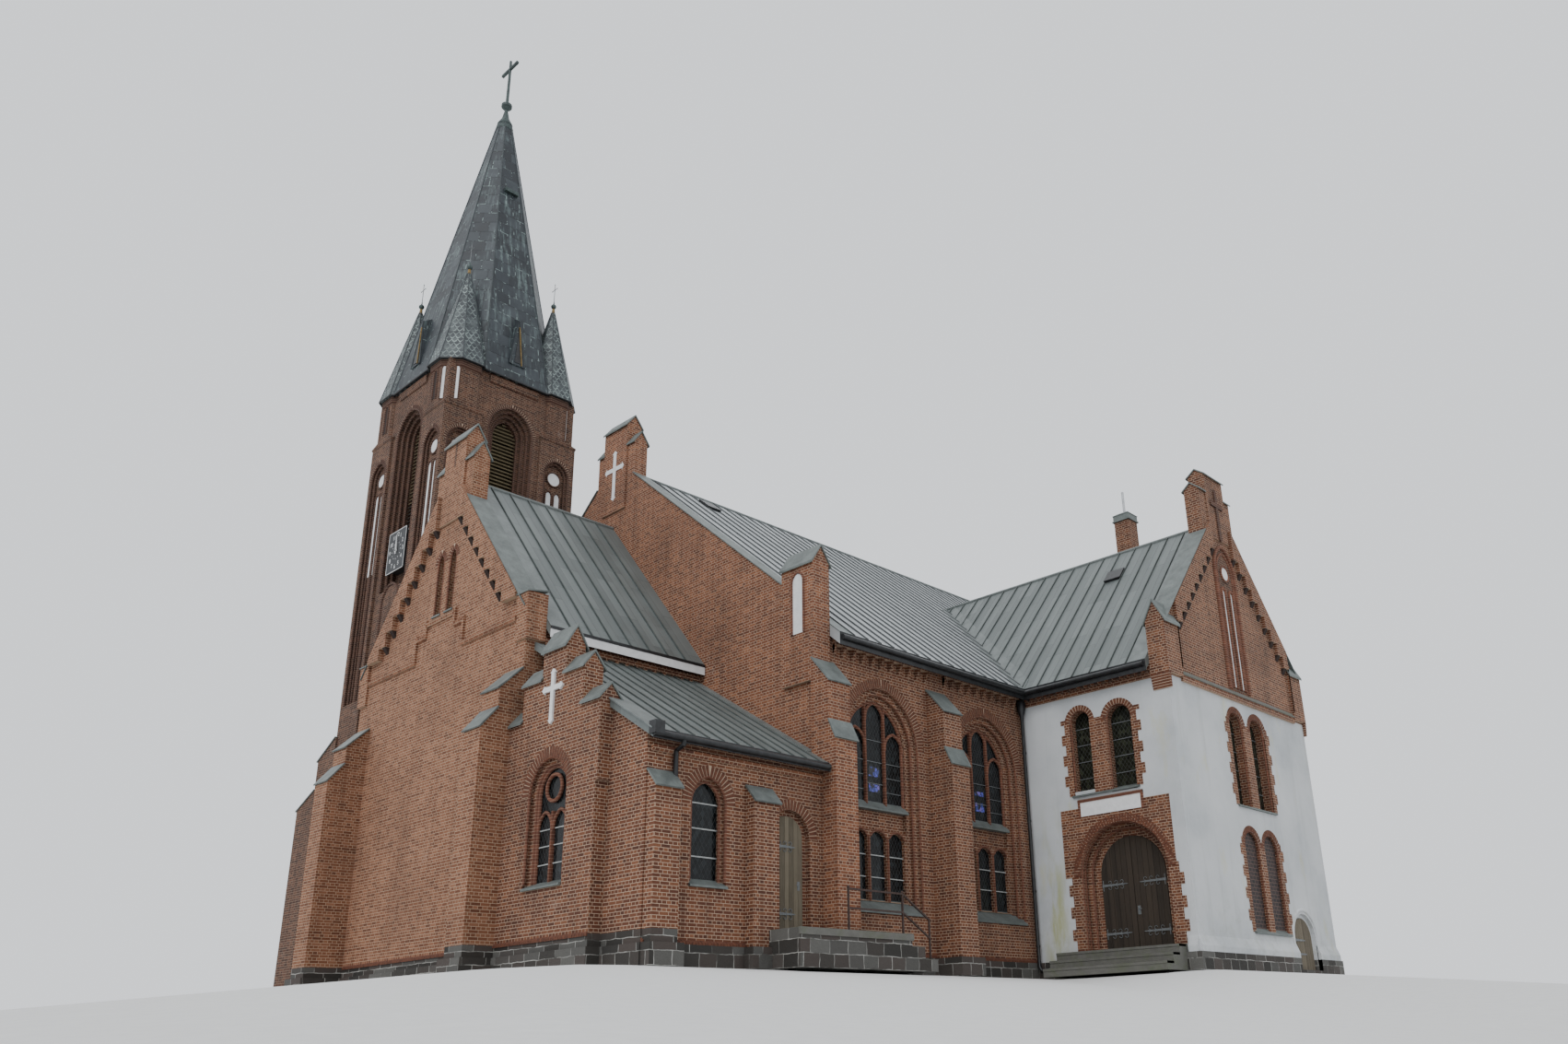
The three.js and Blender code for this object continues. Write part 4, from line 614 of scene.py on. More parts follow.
class Batch:
    """Many small solids that become one mesh piece of one material."""

    def __init__(self, name, material, body):
        self.name = name
        self.material = material
        self.body = body
        self.points = []
        self.faces = []

    def loft(self, low, high):
        """A solid between two closed outlines of equally many points."""
        self.rings([low, high])

    def rings(self, loops, closed=False):
        """A body through a row of outlines of equally many points."""
        first = len(self.points)
        n = len(loops[0])
        for loop in loops:
            self.points += [Vector(p) for p in loop]
        for i in range(len(loops) if closed else len(loops) - 1):
            a = first + i * n
            b = first + (i + 1) % len(loops) * n
            for k in range(n):
                m = (k + 1) % n
                self.faces.append((a + k, a + m, b + m, b + k))
        if not closed:
            last = len(self.points)
            self.faces.append(tuple(range(first + n - 1, first - 1, -1)))
            self.faces.append(tuple(range(last - n, last)))

    def plate(self, wall, outline, d0, d1):
        self.loft([wall.at(u, z, d0) for u, z in outline], [wall.at(u, z, d1) for u, z in outline])

    def box(self, wall, u0, u1, z0, z1, d0, d1):
        self.plate(wall, [(u0, z0), (u1, z0), (u1, z1), (u0, z1)], d0, d1)

    def run(self, wall, profile, u0, u1):
        """A profile of (d, z) points drawn along the wall."""
        self.loft([wall.at(u0, z, d) for d, z in profile], [wall.at(u1, z, d) for d, z in profile])

    def block(self, x0, x1, y0, y1, z0, z1):
        self.box(Wall("y", 1, 0.0), x0, x1, z0, z1, y0, y1)

    def tube(self, path, radius, sides=8, closed=False):
        """A round bar along a path of points."""
        path = [Vector(p) for p in path]
        n = len(path)
        loops = []
        side = None
        for i, point in enumerate(path):
            before = path[i - 1] if (i > 0 or closed) else point
            after = path[(i + 1) % n] if (i < n - 1 or closed) else point
            along = (after - before).normalized()
            if side is None:
                side = along.orthogonal().normalized()
            side = (side - along * side.dot(along)).normalized()
            other = along.cross(side)
            loops.append([
                point + (side * math.cos(t) + other * math.sin(t)) * radius for t in turns(sides)
            ])
        self.rings(loops, closed)

    def trim(self, wall, path, depth, radius, sides=8, closed=False):
        """A round bar along (u, z) points at one depth of a wall."""
        self.tube([wall.at(u, z, depth) for u, z in path], radius, sides, closed)

    def rib(self, a, b, up, width, height):
        """A straight bar of square section that lies on a slope."""
        a, b, up = Vector(a), Vector(b), Vector(up).normalized()
        side = (b - a).cross(up).normalized() * (width / 2)
        low, high = up * SINK, up * height
        self.loft(*[[p - side - low, p + side - low, p + side + high, p - side + high] for p in (a, b)])

    def strip(self, corners, thickness):
        """A flat sheet with the given corners, laid on a slope."""
        corners = [Vector(c) for c in corners]
        up = (corners[1] - corners[0]).cross(corners[2] - corners[1]).normalized()
        if up.z < 0:
            up = -up
        self.loft([c - up * SINK for c in corners], [c + up * thickness for c in corners])

    def ball(self, centre, radius, rings=8, sides=12):
        profile = []
        for i in range(1, rings):
            t = math.pi * i / rings
            profile.append((radius * math.sin(t), -radius * math.cos(t)))
        self.rings([
            [Vector(centre) + Vector((r * math.cos(a), r * math.sin(a), z)) for a in turns(sides)]
            for r, z in profile
        ])

    def turned(self, centre, profile, sides=12):
        """A turned piece about an upright axis, from (radius, z) points."""
        x, y = centre
        self.rings([
            [Vector((x + r * math.cos(a), y + r * math.sin(a), z)) for a in turns(sides, 0.5)]
            for r, z in profile
        ])

    def pierced(self, wall, outer, holes, d0, d1):
        """A plate with holes through it."""
        curve = bpy.data.curves.new("outline", "CURVE")
        curve.dimensions = "2D"
        curve.fill_mode = "BOTH"
        curve.extrude = abs(d1 - d0) / 2
        for outline in [outer] + holes:
            spline = curve.splines.new("POLY")
            spline.points.add(len(outline) - 1)
            for point, (u, z) in zip(spline.points, outline):
                point.co = (u, z, 0.0, 1.0)
            spline.use_cyclic_u = True
        holder = bpy.data.objects.new("outline", curve)
        bpy.context.scene.collection.objects.link(holder)
        bpy.context.view_layer.update()
        shape = holder.evaluated_get(bpy.context.evaluated_depsgraph_get()).to_mesh()
        first = len(self.points)
        middle = (d0 + d1) / 2
        self.points += [wall.at(v.co.x, v.co.y, middle + v.co.z) for v in shape.vertices]
        self.faces += [tuple(first + i for i in p.vertices) for p in shape.polygons]
        bpy.data.objects.remove(holder)
        bpy.data.curves.remove(curve)

    def piece(self, smooth=False):
        if not self.points:
            return None
        mesh = bpy.data.meshes.new(self.name)
        mesh.from_pydata([p + SHIFT for p in self.points], [], self.faces)
        shaped = bmesh.new()
        shaped.from_mesh(mesh)
        bmesh.ops.remove_doubles(shaped, verts=shaped.verts, dist=1e-5)
        bmesh.ops.recalc_face_normals(shaped, faces=shaped.faces)
        shaped.to_mesh(mesh)
        shaped.free()
        mesh.materials.append(MATERIALS[self.material])
        if smooth:
            mesh.shade_smooth()
        obj = bpy.data.objects.new(self.name, mesh)
        bpy.context.scene.collection.objects.link(obj)
        if smooth:
            mesh.set_sharp_from_angle(angle=math.radians(40))
        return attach(obj, self.body)


BATCHES = {}


def batch(name, material, body=BODY):
    if name not in BATCHES:
        BATCHES[name] = Batch(name, material, body)
    return BATCHES[name]


def arch_side(half, lean, pieces=10):
    """Half an arch's curve from the spring to the top: (across, up) points."""
    radius = half + lean
    end = math.acos(lean / radius)
    angles = [end * i / pieces for i in range(pieces + 1)]
    return [(radius * math.cos(t) - lean, radius * math.sin(t)) for t in angles]


def arch_outline(centre, half, sill, spring, lean, pieces=10):
    side = arch_side(half, lean, pieces)
    right = [(centre + a, spring + u) for a, u in side]
    left = [(centre - a, spring + u) for a, u in side[:-1]][::-1]
    return [(centre - half, sill), (centre + half, sill)] + right + left


def arch_path(centre, half, sill, spring, lean, pieces=10):
    """Up one jamb, over the arch and down the other."""
    outline = arch_outline(centre, half, sill, spring, lean, pieces)
    return outline[1:] + outline[:1]


def circle(u, z, radius, count=20):
    return [(u + radius * math.cos(t), z + radius * math.sin(t)) for t in turns(count)]


def half_width(z, half, spring, lean):
    """Half the arch's width at a height."""
    if z <= spring:
        return half
    radius = half + lean
    rise = z - spring
    if rise >= radius:
        return 0.0
    return max(math.sqrt(radius * radius - rise * rise) - lean, 0.0)


RING_BRICK = 0.079
RING_JOINT = 0.019
RING_DEEP = 0.05


def arch_ring(wall, centre, half, spring, lean, height=0.24, proud=0.014, name="arch_rings"):
    """Bricks on edge round an arch, on a bed of mortar."""
    bricks = batch(name, "voussoir_dark" if name == "tower_rings" else "voussoir")
    bed = batch(name + "_mortar", "mortar")
    inner, outer = half + lean, half + lean + height
    inner_end, outer_end = math.acos(lean / inner), math.acos(lean / outer)
    count = max(4, round(inner * inner_end / RING_BRICK))
    step = inner_end / count
    gap = RING_JOINT / inner
    for side in (-1, 1):
        for i in range(count):
            a0, a1 = i * step + gap / 2, (i + 1) * step - gap / 2
            corners = []
            for r, a in ((inner, a0), (outer, a0), (outer, a1), (inner, a1)):
                across = max(r * math.cos(a) - lean, 0.004)
                corners.append((centre + side * across, spring + r * math.sin(a)))
            bricks.plate(wall, corners, -RING_DEEP, proud)
        rim = [(outer, outer_end * i / 12) for i in range(13)]
        rim += [(inner, inner_end * i / 12) for i in range(12, -1, -1)]
        points = [(centre + side * (r * math.cos(a) - lean), spring + r * math.sin(a)) for r, a in rim]
        bed.plate(wall, points, -RING_DEEP + 0.01, 0.004)


def rolls(wall, centre, half, sill, spring, lean, depth, radius=0.045, name="mouldings"):
    """A round moulding that follows an opening's edge."""
    path = arch_path(centre, half, sill, spring, lean, 12)
    material = "moulded_dark" if name == "tower_mouldings" else "moulded"
    batch(name, material).trim(wall, path, depth, radius, 8)


def slope_cap(wall, u0, u1, high, low, name="caps", side=0.035, thick=0.035, nose=0.05):
    """A sheet over a slope that falls away from a wall. High and low are (d, z) points."""
    dd, dz = low[0] - high[0], low[1] - high[1]
    length = math.hypot(dd, dz)
    ed, ez = dd / length, dz / length
    nd, nz = -ez, ed
    end = (low[0] + ed * nose, low[1] + ez * nose)
    profile = [
        (high[0], high[1] - 0.002), (end[0], end[1] - 0.002),
        (end[0] + nd * thick, end[1] + nz * thick), (high[0] + nd * thick, high[1] + nz * thick),
    ]
    batch(name, "cap").run(wall, profile, u0 - side, u1 + side)


def saddle_cap(axis, u0, u1, w0, w1, eave, cap, name="caps", out=0.06, thick=0.035, side=0.04):
    """A little roof of two sheets over a pier, with its ridge along u."""
    middle = (w0 + w1) / 2
    fall = cap / ((w1 - w0) / 2)
    half = (w1 - w0) / 2 + out
    low = eave + cap - fall * half
    up = thick * math.hypot(1.0, fall)
    outline = [
        (middle - half, low), (middle, eave + cap), (middle + half, low),
        (middle + half, low + up), (middle, eave + cap + up), (middle - half, low + up),
    ]
    wall = Wall("y" if axis == "x" else "x", 1, 0.0)
    batch(name, "cap").loft(
        [wall.at(w, z, u0 - side) for w, z in outline], [wall.at(w, z, u1 + side) for w, z in outline]
    )


# Roofs

def nave_z(y):
    return NAVE_RIDGE - NAVE_FALL * abs(y)


def wing_z(x):
    return WING_RIDGE - WING_FALL * abs(x - WING_MIDDLE)


def valley_y(x):
    """How far from the nave's middle a transept roof starts to cover the nave's roof."""
    reach = (NAVE_RIDGE - WING_RIDGE + WING_FALL * abs(x - WING_MIDDLE)) / NAVE_FALL
    return min(reach, NAVE_EDGE)


def valley_x(y):
    reach = (NAVE_FALL * abs(y) - (NAVE_RIDGE - WING_RIDGE)) / WING_FALL
    return min(reach, WING_EDGE)


def chancel_z(y):
    return CHANCEL_RIDGE - CHANCEL_FALL * abs(y)


def sac_z(y):
    return SAC_RIDGE - SAC_FALL * (abs(y) - SAC_TOP)


def places(start, stop, pitch):
    """Places from start to before stop, a pitch apart."""
    while start < stop:
        yield start
        start += pitch


def seam_row(seams, along, z, normal, start, end_at, width=0.028, height=0.04):
    """Standing seams down a slope, each from y = start to the y that end_at gives for its place."""
    for x in along:
        end = end_at(x)
        seams.rib((x, start, z(start)), (x, end, z(end)), normal, width, height)


def flashing(x0, x1, y0, y1, z, thickness):
    """A strip of sheet down a slope."""
    corners = [(x0, y0, z(y0)), (x1, y0, z(y0)), (x1, y1, z(y1)), (x0, y1, z(y1))]
    batch("roof_flashings", "flash").strip(corners, thickness)


def valley_flashings(side, end):
    """The sheets on both roofs along a valley."""
    on_nave, on_wing = [], []
    for y in (WING_RIDGE_START, NAVE_EDGE):
        x = WING_MIDDLE + end * max(valley_x(y), 0)
        on_nave.append([(x, side * y, nave_z(y)), (x + end * 0.38, side * y, nave_z(y))])
    for y in (3.4, NAVE_EDGE):
        reach = valley_x(y)
        x0 = WING_MIDDLE + end * reach
        x1 = WING_MIDDLE + end * max(reach - 0.3, 0.0)
        on_wing.append([(x0, side * y, wing_z(x0)), (x1, side * y, wing_z(x1))])
    for (high, low), thickness in ((on_nave, 0.016), (on_wing, 0.014)):
        batch("roof_flashings", "flash").strip([*high, *reversed(low)], thickness)


def nave_end(side, x):
    """How far from the middle the nave's roof shows: to the tower, a transept's roof or the eaves."""
    if side > 0 and x < 1.35:
        return 4.4
    if WING_MIDDLE - WING_EDGE < x < WING_MIDDLE + WING_EDGE:
        return valley_y(x)
    return NAVE_EDGE


def nave_roof():
    seams = batch("nave_seams", "nave_seam")
    first, last = WALL_GABLE, NAVE_WEST - WALL_GABLE
    for side in (-1, 1):
        normal = Vector((0, side * NAVE_FALL, 1)).normalized()
        along = places(first + 0.55, last - 0.4, 0.5)
        seam_row(seams, along, nave_z, normal, 0, lambda x: side * nave_end(side, x))
        for x0, x1 in ((first, first + 0.5), (last - 0.5, last)):
            flashing(x0, x1, 0, side * nave_end(side, x0), nave_z, 0.014)
        for end in (-1, 1):
            valley_flashings(side, end)
    batch("ridge_caps", "flash").tube([(first, 0, NAVE_RIDGE), (last, 0, NAVE_RIDGE)], 0.06, 8)
    x, high, low = 3.3, -0.45, -0.45 - 0.5
    normal = Vector((0, -NAVE_FALL, 1)).normalized()
    hatch = batch("roof_hatches", "gutter")
    hatch.rib((x, high, nave_z(high)), (x, low, nave_z(low)), normal, 0.55, 0.09)


def wing_roofs():
    seams = batch("transept_seams", "seam")
    strips = batch("roof_flashings", "flash")
    middle = WING_MIDDLE
    for side in (-1, 1):
        for end in (-1, 1):
            normal = Vector((end * WING_FALL, 0, 1)).normalized()
            y = WING_END - 0.62
            while y > 3.0:
                low = middle + end * valley_x(y)
                if valley_x(y) > 0.12:
                    ridge = (middle, side * y, WING_RIDGE)
                    seams.rib(ridge, (low, side * y, wing_z(low)), normal, 0.028, 0.04)
                y -= 0.6
            low = middle + end * WING_EDGE
            y0, y1 = side * WING_END, side * (WING_END - 0.58)
            strips.strip([
                (middle, y0, WING_RIDGE), (middle, y1, WING_RIDGE),
                (low, y1, wing_z(low)), (low, y0, wing_z(low)),
            ], 0.016)
        ridge = [(middle, side * y, WING_RIDGE) for y in (WING_RIDGE_START, WING_END)]
        batch("ridge_caps", "flash").tube(ridge, 0.06, 8)
    high, low, y = 12.1, 12.1 - 0.35, -10.75
    normal = Vector((-WING_FALL, 0, 1)).normalized()
    hatch = batch("roof_hatches", "gutter")
    hatch.rib((high, y, wing_z(high)), (low, y, wing_z(low)), normal, 0.6, 0.09)


def chancel_roof():
    seams = batch("chancel_seams", "seam")
    start = CHANCEL_EAST + WALL_GABLE
    for side in (-1, 1):
        normal = Vector((0, side * CHANCEL_FALL, 1)).normalized()
        along = places(start + 0.62, -0.1, 0.6)
        end_at = lambda x: side * (2.8 if side > 0 and x > -3.9 else CHANCEL_EDGE)
        seam_row(seams, along, chancel_z, normal, 0, end_at)
        flashing(start, start + 0.55, 0, side * CHANCEL_EDGE, chancel_z, 0.016)
    ridge = [(start, 0, CHANCEL_RIDGE), (-0.02, 0, CHANCEL_RIDGE)]
    batch("ridge_caps", "flash").tube(ridge, 0.06, 8)


def sacristy_roof():
    seams = batch("sacristy_seams", "seam")
    normal = Vector((0, -SAC_FALL, 1)).normalized()
    front = SAC_FRONT + 0.5
    along = places(front + 0.42, -0.15, 0.42)
    end_at = lambda x: SAC_EDGE if x < -0.2 else -8.95
    seam_row(seams, along, sac_z, normal, -CHANCEL_HALF, end_at, 0.024, 0.034)
    flashing(front, SAC_FRONT + 0.86, -CHANCEL_HALF, SAC_EDGE, sac_z, 0.014)
    flashing(-0.28, -0.005, -CHANCEL_HALF, -8.93, sac_z, 0.02)
    flashing(SAC_BACK - 0.14, SAC_BACK + 0.2, -8.0, SAC_EDGE, sac_z, 0.02)


def gutter(a, b, radius=0.075):
    batch("gutters", "gutter").tube([a, b], radius, 10)


def gutters():
    high = nave_z(NAVE_EDGE) - 0.13
    low = wing_z(WING_MIDDLE + WING_EDGE) - 0.13
    for side in (-1, 1):
        y = side * (NAVE_EDGE + 0.045)
        gutter((0.55 if side < 0 else 1.6, y, high), (WING_EAST - 0.05, y, high))
        gutter((WING_WEST + 0.05, y, high), (NAVE_WEST - 0.55, y, high))
        for end in (-1, 1):
            x = WING_MIDDLE + end * (WING_EDGE + 0.045)
            gutter((x, side * WING_EAVES_START, low), (x, side * (WING_END - 0.05), low))
    low = sac_z(SAC_EDGE) - 0.1
    gutter((SAC_BACK - 0.1, SAC_EDGE - 0.04, low), (-0.22, SAC_EDGE - 0.04, low), 0.07)
    dark = batch("gutter_box", "gutter")
    dark.block(SAC_BACK - 0.13, SAC_BACK + 0.12, SAC_EDGE - 0.12, SAC_EDGE + 0.1, low - 0.02, low + 0.26)
    edge = batch("eaves_edge", "gutter")
    for side in (-1, 1):
        wall = Wall("y", side, side * NAVE_EDGE)
        top = nave_z(NAVE_EDGE)
        for u0, u1 in ((0.5 if side < 0 else 1.5, WING_EAST), (WING_WEST, NAVE_WEST - 0.5)):
            edge.box(wall, u0, u1, top - 0.33, top + 0.01, 0.0, 0.02)
        for end in (-1, 1):
            wall = Wall("x", end, WING_MIDDLE + end * WING_EDGE)
            low = wing_z(WING_MIDDLE + WING_EDGE)
            ends = sorted((side * WING_EAVES_START, side * WING_END))
            edge.box(wall, *ends, low - 0.33, low + 0.01, 0.0, 0.02)
    wall, low = Wall("y", -1, SAC_EDGE), sac_z(SAC_EDGE)
    edge.box(wall, SAC_BACK - 0.1, -0.2, low - 0.2, low + 0.01, 0.0, 0.015)


def downpipes():
    pipes = batch("downpipes", "gutter")
    for side in (-1, 1):
        for x, turn in ((WING_EAST - 0.16, -1), (WING_WEST + 0.16, 1)):
            y = side * (NAVE_HALF + 0.16)
            pipes.turned((x, y), [(0.1, 8.0), (0.13, 7.95), (0.13, 7.72), (0.06, 7.5), (0.06, 7.45)], 12)
            pipes.tube([(x, y, 7.5), (x, y, 0.35), (x + turn * 0.02, y + side * 0.1, 0.22)], 0.052, 10)
            for z in (6.4, 4.4, 2.4, 0.9):
                pipes.turned((x, y), [(0.066, z - 0.03), (0.066, z + 0.03)], 12)
    low = sac_z(SAC_EDGE) - 0.14
    pipes.tube([
        (-4.6, SAC_EDGE - 0.03, low), (-4.6, SAC_EDGE - 0.03, low - 0.1), (-4.6, SAC_SOUTH - 0.08, low - 0.2),
        (-4.6, SAC_SOUTH - 0.08, low - 0.85),
    ], 0.055, 10)


# Brick ornament

def corbel_table(wall, u0, u1, top, pitch=0.36, name="corbels", material="brick"):
    """A band on a row of stepped corbels."""
    bricks = batch(name, material)
    bricks.run(wall, [(-0.02, top - 0.16), (0.12, top - 0.16), (0.12, top), (-0.02, top)], u0, u1)
    count = max(1, round((u1 - u0) / pitch))
    step = (u1 - u0) / count
    for i in range(count + 1):
        u = u0 + i * step
        for wide, low, out in ((0.1, 0.46, 0.045), (0.055, 0.38, 0.08), (0.03, 0.3, 0.11)):
            a, b = max(u0, u - wide / 2 - 0.03), min(u1, u + wide / 2 + 0.03)
            bricks.box(wall, a, b, top - low, top - 0.15, -0.02, out)


def stepped_verge(
    wall, middle, side, inner, outer, rise, fall, width, step, foot, proud, name="verges", material="brick",
):
    """A band along a gable's rake, with its lower edge in steps and a corbel under each, painted near black
    as the shadow under its step.
    """
    bricks = batch(name, material)
    # The corbels' near-black colour is painted shadow.
    corbels = batch("verge_corbels", "soot_and_painted_shade")
    count = max(3, round((outer - inner) / step))
    step = (outer - inner) / count
    top = lambda u: rise - fall * u
    outline = [(inner, top(inner)), (outer, top(outer)), (outer, foot)]
    points = []
    for i in range(count):
        u1 = outer - i * step
        u0 = u1 - step
        z = max(top(u1) - width, foot)
        points += [(u1, z), (u0, z)]
    outline += points
    outline = [(middle + side * u, z) for u, z in outline]
    bricks.plate(wall, outline, -0.02, proud)
    for i in range(count):
        u0 = outer - (i + 1) * step
        z = top(u0 + step) - width
        if z < foot + 0.3:
            continue
        ends = sorted((middle + side * (u0 + 0.005), middle + side * (u0 + 0.16)))
        wedge = [(-0.02, z - 0.2), (0.004, z - 0.2), (proud * 0.92, z - 0.01), (-0.02, z - 0.01)]
        corbels.run(wall, wedge, *ends)


def rake_cap(wall, middle, inner, outer, rise, fall, d0, d1):
    """A thin sheet on top of a gable's rakes."""
    for side in (-1, 1):
        a = (middle + side * inner, rise - fall * inner)
        b = (middle + side * outer, rise - fall * outer)
        outline = [a, b, (b[0], b[1] + SHEET_UP), (a[0], a[1] + SHEET_UP)]
        batch("rake_caps", "cap").plate(wall, outline, d0, d1)


def cross_outline(cu, cz, top, bottom, arm, half, flare):
    """A plain cross whose ends widen a little to points."""
    left, right, foot, head = cu - arm, cu + arm, bottom + 0.1, top - 0.1
    return [
        (cu - half, cz - half), (cu - half, foot), (cu - flare, foot), (cu, bottom),
        (cu + flare, foot), (cu + half, foot), (cu + half, cz - half), (right - 0.1, cz - half),
        (right - 0.1, cz - flare), (right, cz), (right - 0.1, cz + flare), (right - 0.1, cz + half),
        (cu + half, cz + half), (cu + half, head), (cu + flare, head), (cu, top), (cu - flare, head),
        (cu - half, head), (cu - half, cz + half), (left + 0.1, cz + half), (left + 0.1, cz + flare),
        (left, cz), (left + 0.1, cz - flare), (left + 0.1, cz - half),
    ]


# The nave's rakes: inner and outer end, height at the middle, fall, and depth from and to.
NAVE_RAKE = (0.95, NAVE_HALF, 16.381, 0.84, -WALL_GABLE - 0.03, 0.05)


def east_gable():
    wall = Wall("x", -1, 0.0)
    white = batch("white_crosses", "white")
    white.plate(wall, cross_outline(0.0, 16.01, 16.67, 14.91, 0.5, 0.075, 0.13), 0.0, 0.075)
    rake_cap(wall, 0.0, *NAVE_RAKE)


def west_gable():
    wall = Wall("x", 1, NAVE_WEST)
    rake_cap(wall, 0.0, *NAVE_RAKE)
    for side in (-1, 1):
        stepped_verge(wall, 0.0, side, 1.0, 7.85, 16.36, 0.84, 0.55, 0.42, 7.0, 0.05)
    windows = [(0.0, 1.25, 8.2, 0.2), (-4.6, 0.9, 6.3, 0.104), (4.6, 0.9, 6.3, 0.104)]
    for centre, half, spring, lean in windows:
        arch_ring(wall, centre, half, spring, lean)
        inner = half - 0.3
        for i in range(2):
            rolls(wall, centre, half - 0.15 * i, 4.2, spring, lean, -0.11 * i - 0.03, 0.04)
        tracery(wall, centre, inner, 4.2, spring, lean, -0.3, 3 if half > 1 else 2)
        sill(wall, centre - half, centre + half, 4.34, 4.1, -0.22, 0.05)
    string = batch("strings", "brick")
    string.run(wall, [(-0.02, 11.2), (0.07, 11.24), (0.07, 11.34), (-0.02, 11.42)], -5.4, 5.4)


def gable_piers():
    for x0, x1 in ((-0.06, WALL_GABLE), (NAVE_WEST - WALL_GABLE, NAVE_WEST + 0.06)):
        saddle_cap("x", -0.6, 0.6, x0, x1, 17.45, 0.35)
    for x0, x1 in ((0.0, WALL_GABLE), (NAVE_WEST - WALL_GABLE, NAVE_WEST)):
        for u0, u1 in ((-0.95, -0.6), (0.6, 0.95)):
            saddle_cap("x", u0, u1, x0, x1, 16.75, 0.35)
    west = NAVE_WEST + 0.11
    for x0, x1, sign, plane in ((-0.11, WALL_GABLE, -1, -0.11), (NAVE_WEST - WALL_GABLE, west, 1, west)):
        for side in (-1, 1):
            if x0 < 0 and side > 0:
                continue
            saddle_cap("x", *sorted((side * 7.85, side * 9.0)), x0, x1, 10.2, 0.45)
            wall = Wall("x", sign, plane)
            centre = side * 8.46
            panel = (centre, 0.18, 8.32, 9.72, 0.06)
            batch("blind_panels", "white").plate(wall, arch_outline(*panel), -0.02, 0.006)
            frame_panel(wall, *panel, 0.07)


def frame_panel(wall, centre, half, sill_z, spring, lean, width):
    """A raised frame round a blind panel."""
    path = arch_path(centre, half + width / 2, sill_z, spring, lean, 8)
    batch("panel_frames", "moulded").trim(wall, path, 0.01, width / 2, 6)


def sill(wall, u0, u1, high, low, d0, d1):
    batch("sills", "cap").run(wall, [(d0, high), (d1, low), (d1, low - 0.045), (d0, low - 0.045)], u0, u1)


def glazing(wall, outline, depth):
    batch("window_glass", "glass").plate(wall, outline, depth - 0.02, depth)


def bars(wall, centre, half, heights, depth, thick):
    iron = batch("window_bars", "bar")
    for z in heights:
        iron.box(wall, centre - half, centre + half, z - thick, z + thick, depth - 0.005, depth + 0.025)


def mullion(wall, u, z0, z1, depth, half=0.042):
    bricks = batch("mullions", "moulded")
    bricks.box(wall, u - half, u + half, z0, z1, depth - 0.03, depth + 0.05)
    bricks.tube([wall.at(u, z0, depth + 0.06), wall.at(u, z1, depth + 0.06)], half * 0.75, 8)


def tracery(wall, centre, half, sill_z, spring, lean, depth, lights):
    """Leaded lights between brick mullions, each with a head of its own."""
    glazing(wall, arch_outline(centre, half, sill_z, spring, lean), depth)
    light = 2 * half / lights
    rim = arch_path(centre, half - 0.03, sill_z, spring, lean, 12)
    bricks = batch("mullions", "moulded")
    bricks.trim(wall, rim, depth + 0.03, 0.045, 8)
    for i in range(1, lights):
        u = centre - half + i * light
        top = spring + math.sqrt(max((half + lean) ** 2 - (abs(u - centre) + lean) ** 2, 0.0))
        mullion(wall, u, sill_z, top, depth)
    for i in range(lights):
        u = centre - half + (i + 0.5) * light
        head = spring + 0.72 if lights == 3 and i == 1 else spring - 0.02
        path = arch_path(u, light / 2 - 0.02, head - 0.05, head, 0.1, 8)
        bricks.trim(wall, path, depth + 0.05, 0.042, 8)
        for k in (1, 2, 3):
            z = sill_z + (head - sill_z) * k / 4
            ends = (u - light / 2 + 0.05, u + light / 2 - 0.05)
            batch("lead_bars", "hinge").box(wall, *ends, z - 0.008, z + 0.008, depth, depth + 0.02)


def bay_light(u, top):
    """One light of a bay's lower window, with a flat arch for its head."""
    low = math.pi * 0.18
    outline = []
    for k in range(9):
        t = math.pi * (0.18 + 0.64 * k / 8)
        rise = 0.16 * (math.sin(t) - math.sin(low)) * 2.4
        outline.append((u + 0.3 * math.cos(t) / math.cos(low), top - 0.2 + rise))
    return outline


def bay_window(wall, centre):
    """The tall pointed recess of a nave bay, with its upper and lower windows."""
    half, foot, spring, lean = 1.4, 1.5, 5.75, 0.104
    inner, depth, low, top = 1.09, -0.34, 1.78, 3.55
    arch_ring(wall, centre, half, spring, lean)
    for i in range(2):
        rolls(wall, centre, half - 0.15 * i, foot + 0.05, spring, lean, -0.12 * i - 0.035, 0.03)
    tracery(wall, centre, inner, 4.2, spring, lean, depth, 3)
    sill(wall, centre - 1.12, centre + 1.12, 4.32, 4.1, -0.36, -0.16)
    mullions = batch("mullions", "moulded")
    heads = []
    lights = []
    for i in (-1, 0, 1):
        u = centre + i * 0.71
        heads.append(bay_light(u, top))
        lights.append([(u - 0.3, low + 0.02), (u + 0.3, low + 0.02)] + heads[-1])
        bars(wall, u, 0.3, [low + 0.6, low + 1.15], depth, 0.012)
    outer = [(centre - inner, low), (centre + inner, low), (centre + inner, top), (centre - inner, top)]
    batch("window_heads", "brick").pierced(wall, outer, lights, depth - 0.01, depth + 0.09)
    for i in (-1, 1):
        u = centre + i * 0.355
        mullions.trim(wall, [(u, low), (u, top - 0.15)], depth + 0.09, 0.035)
    for head in heads:
        mullions.trim(wall, [(u, z + 0.03) for u, z in head], depth + 0.09, 0.03, 6)
    glazing(wall, outer, depth - 0.01)
    sill(wall, centre - 1.4, centre + 1.4, 1.86, 1.5, -0.38, 0.06)


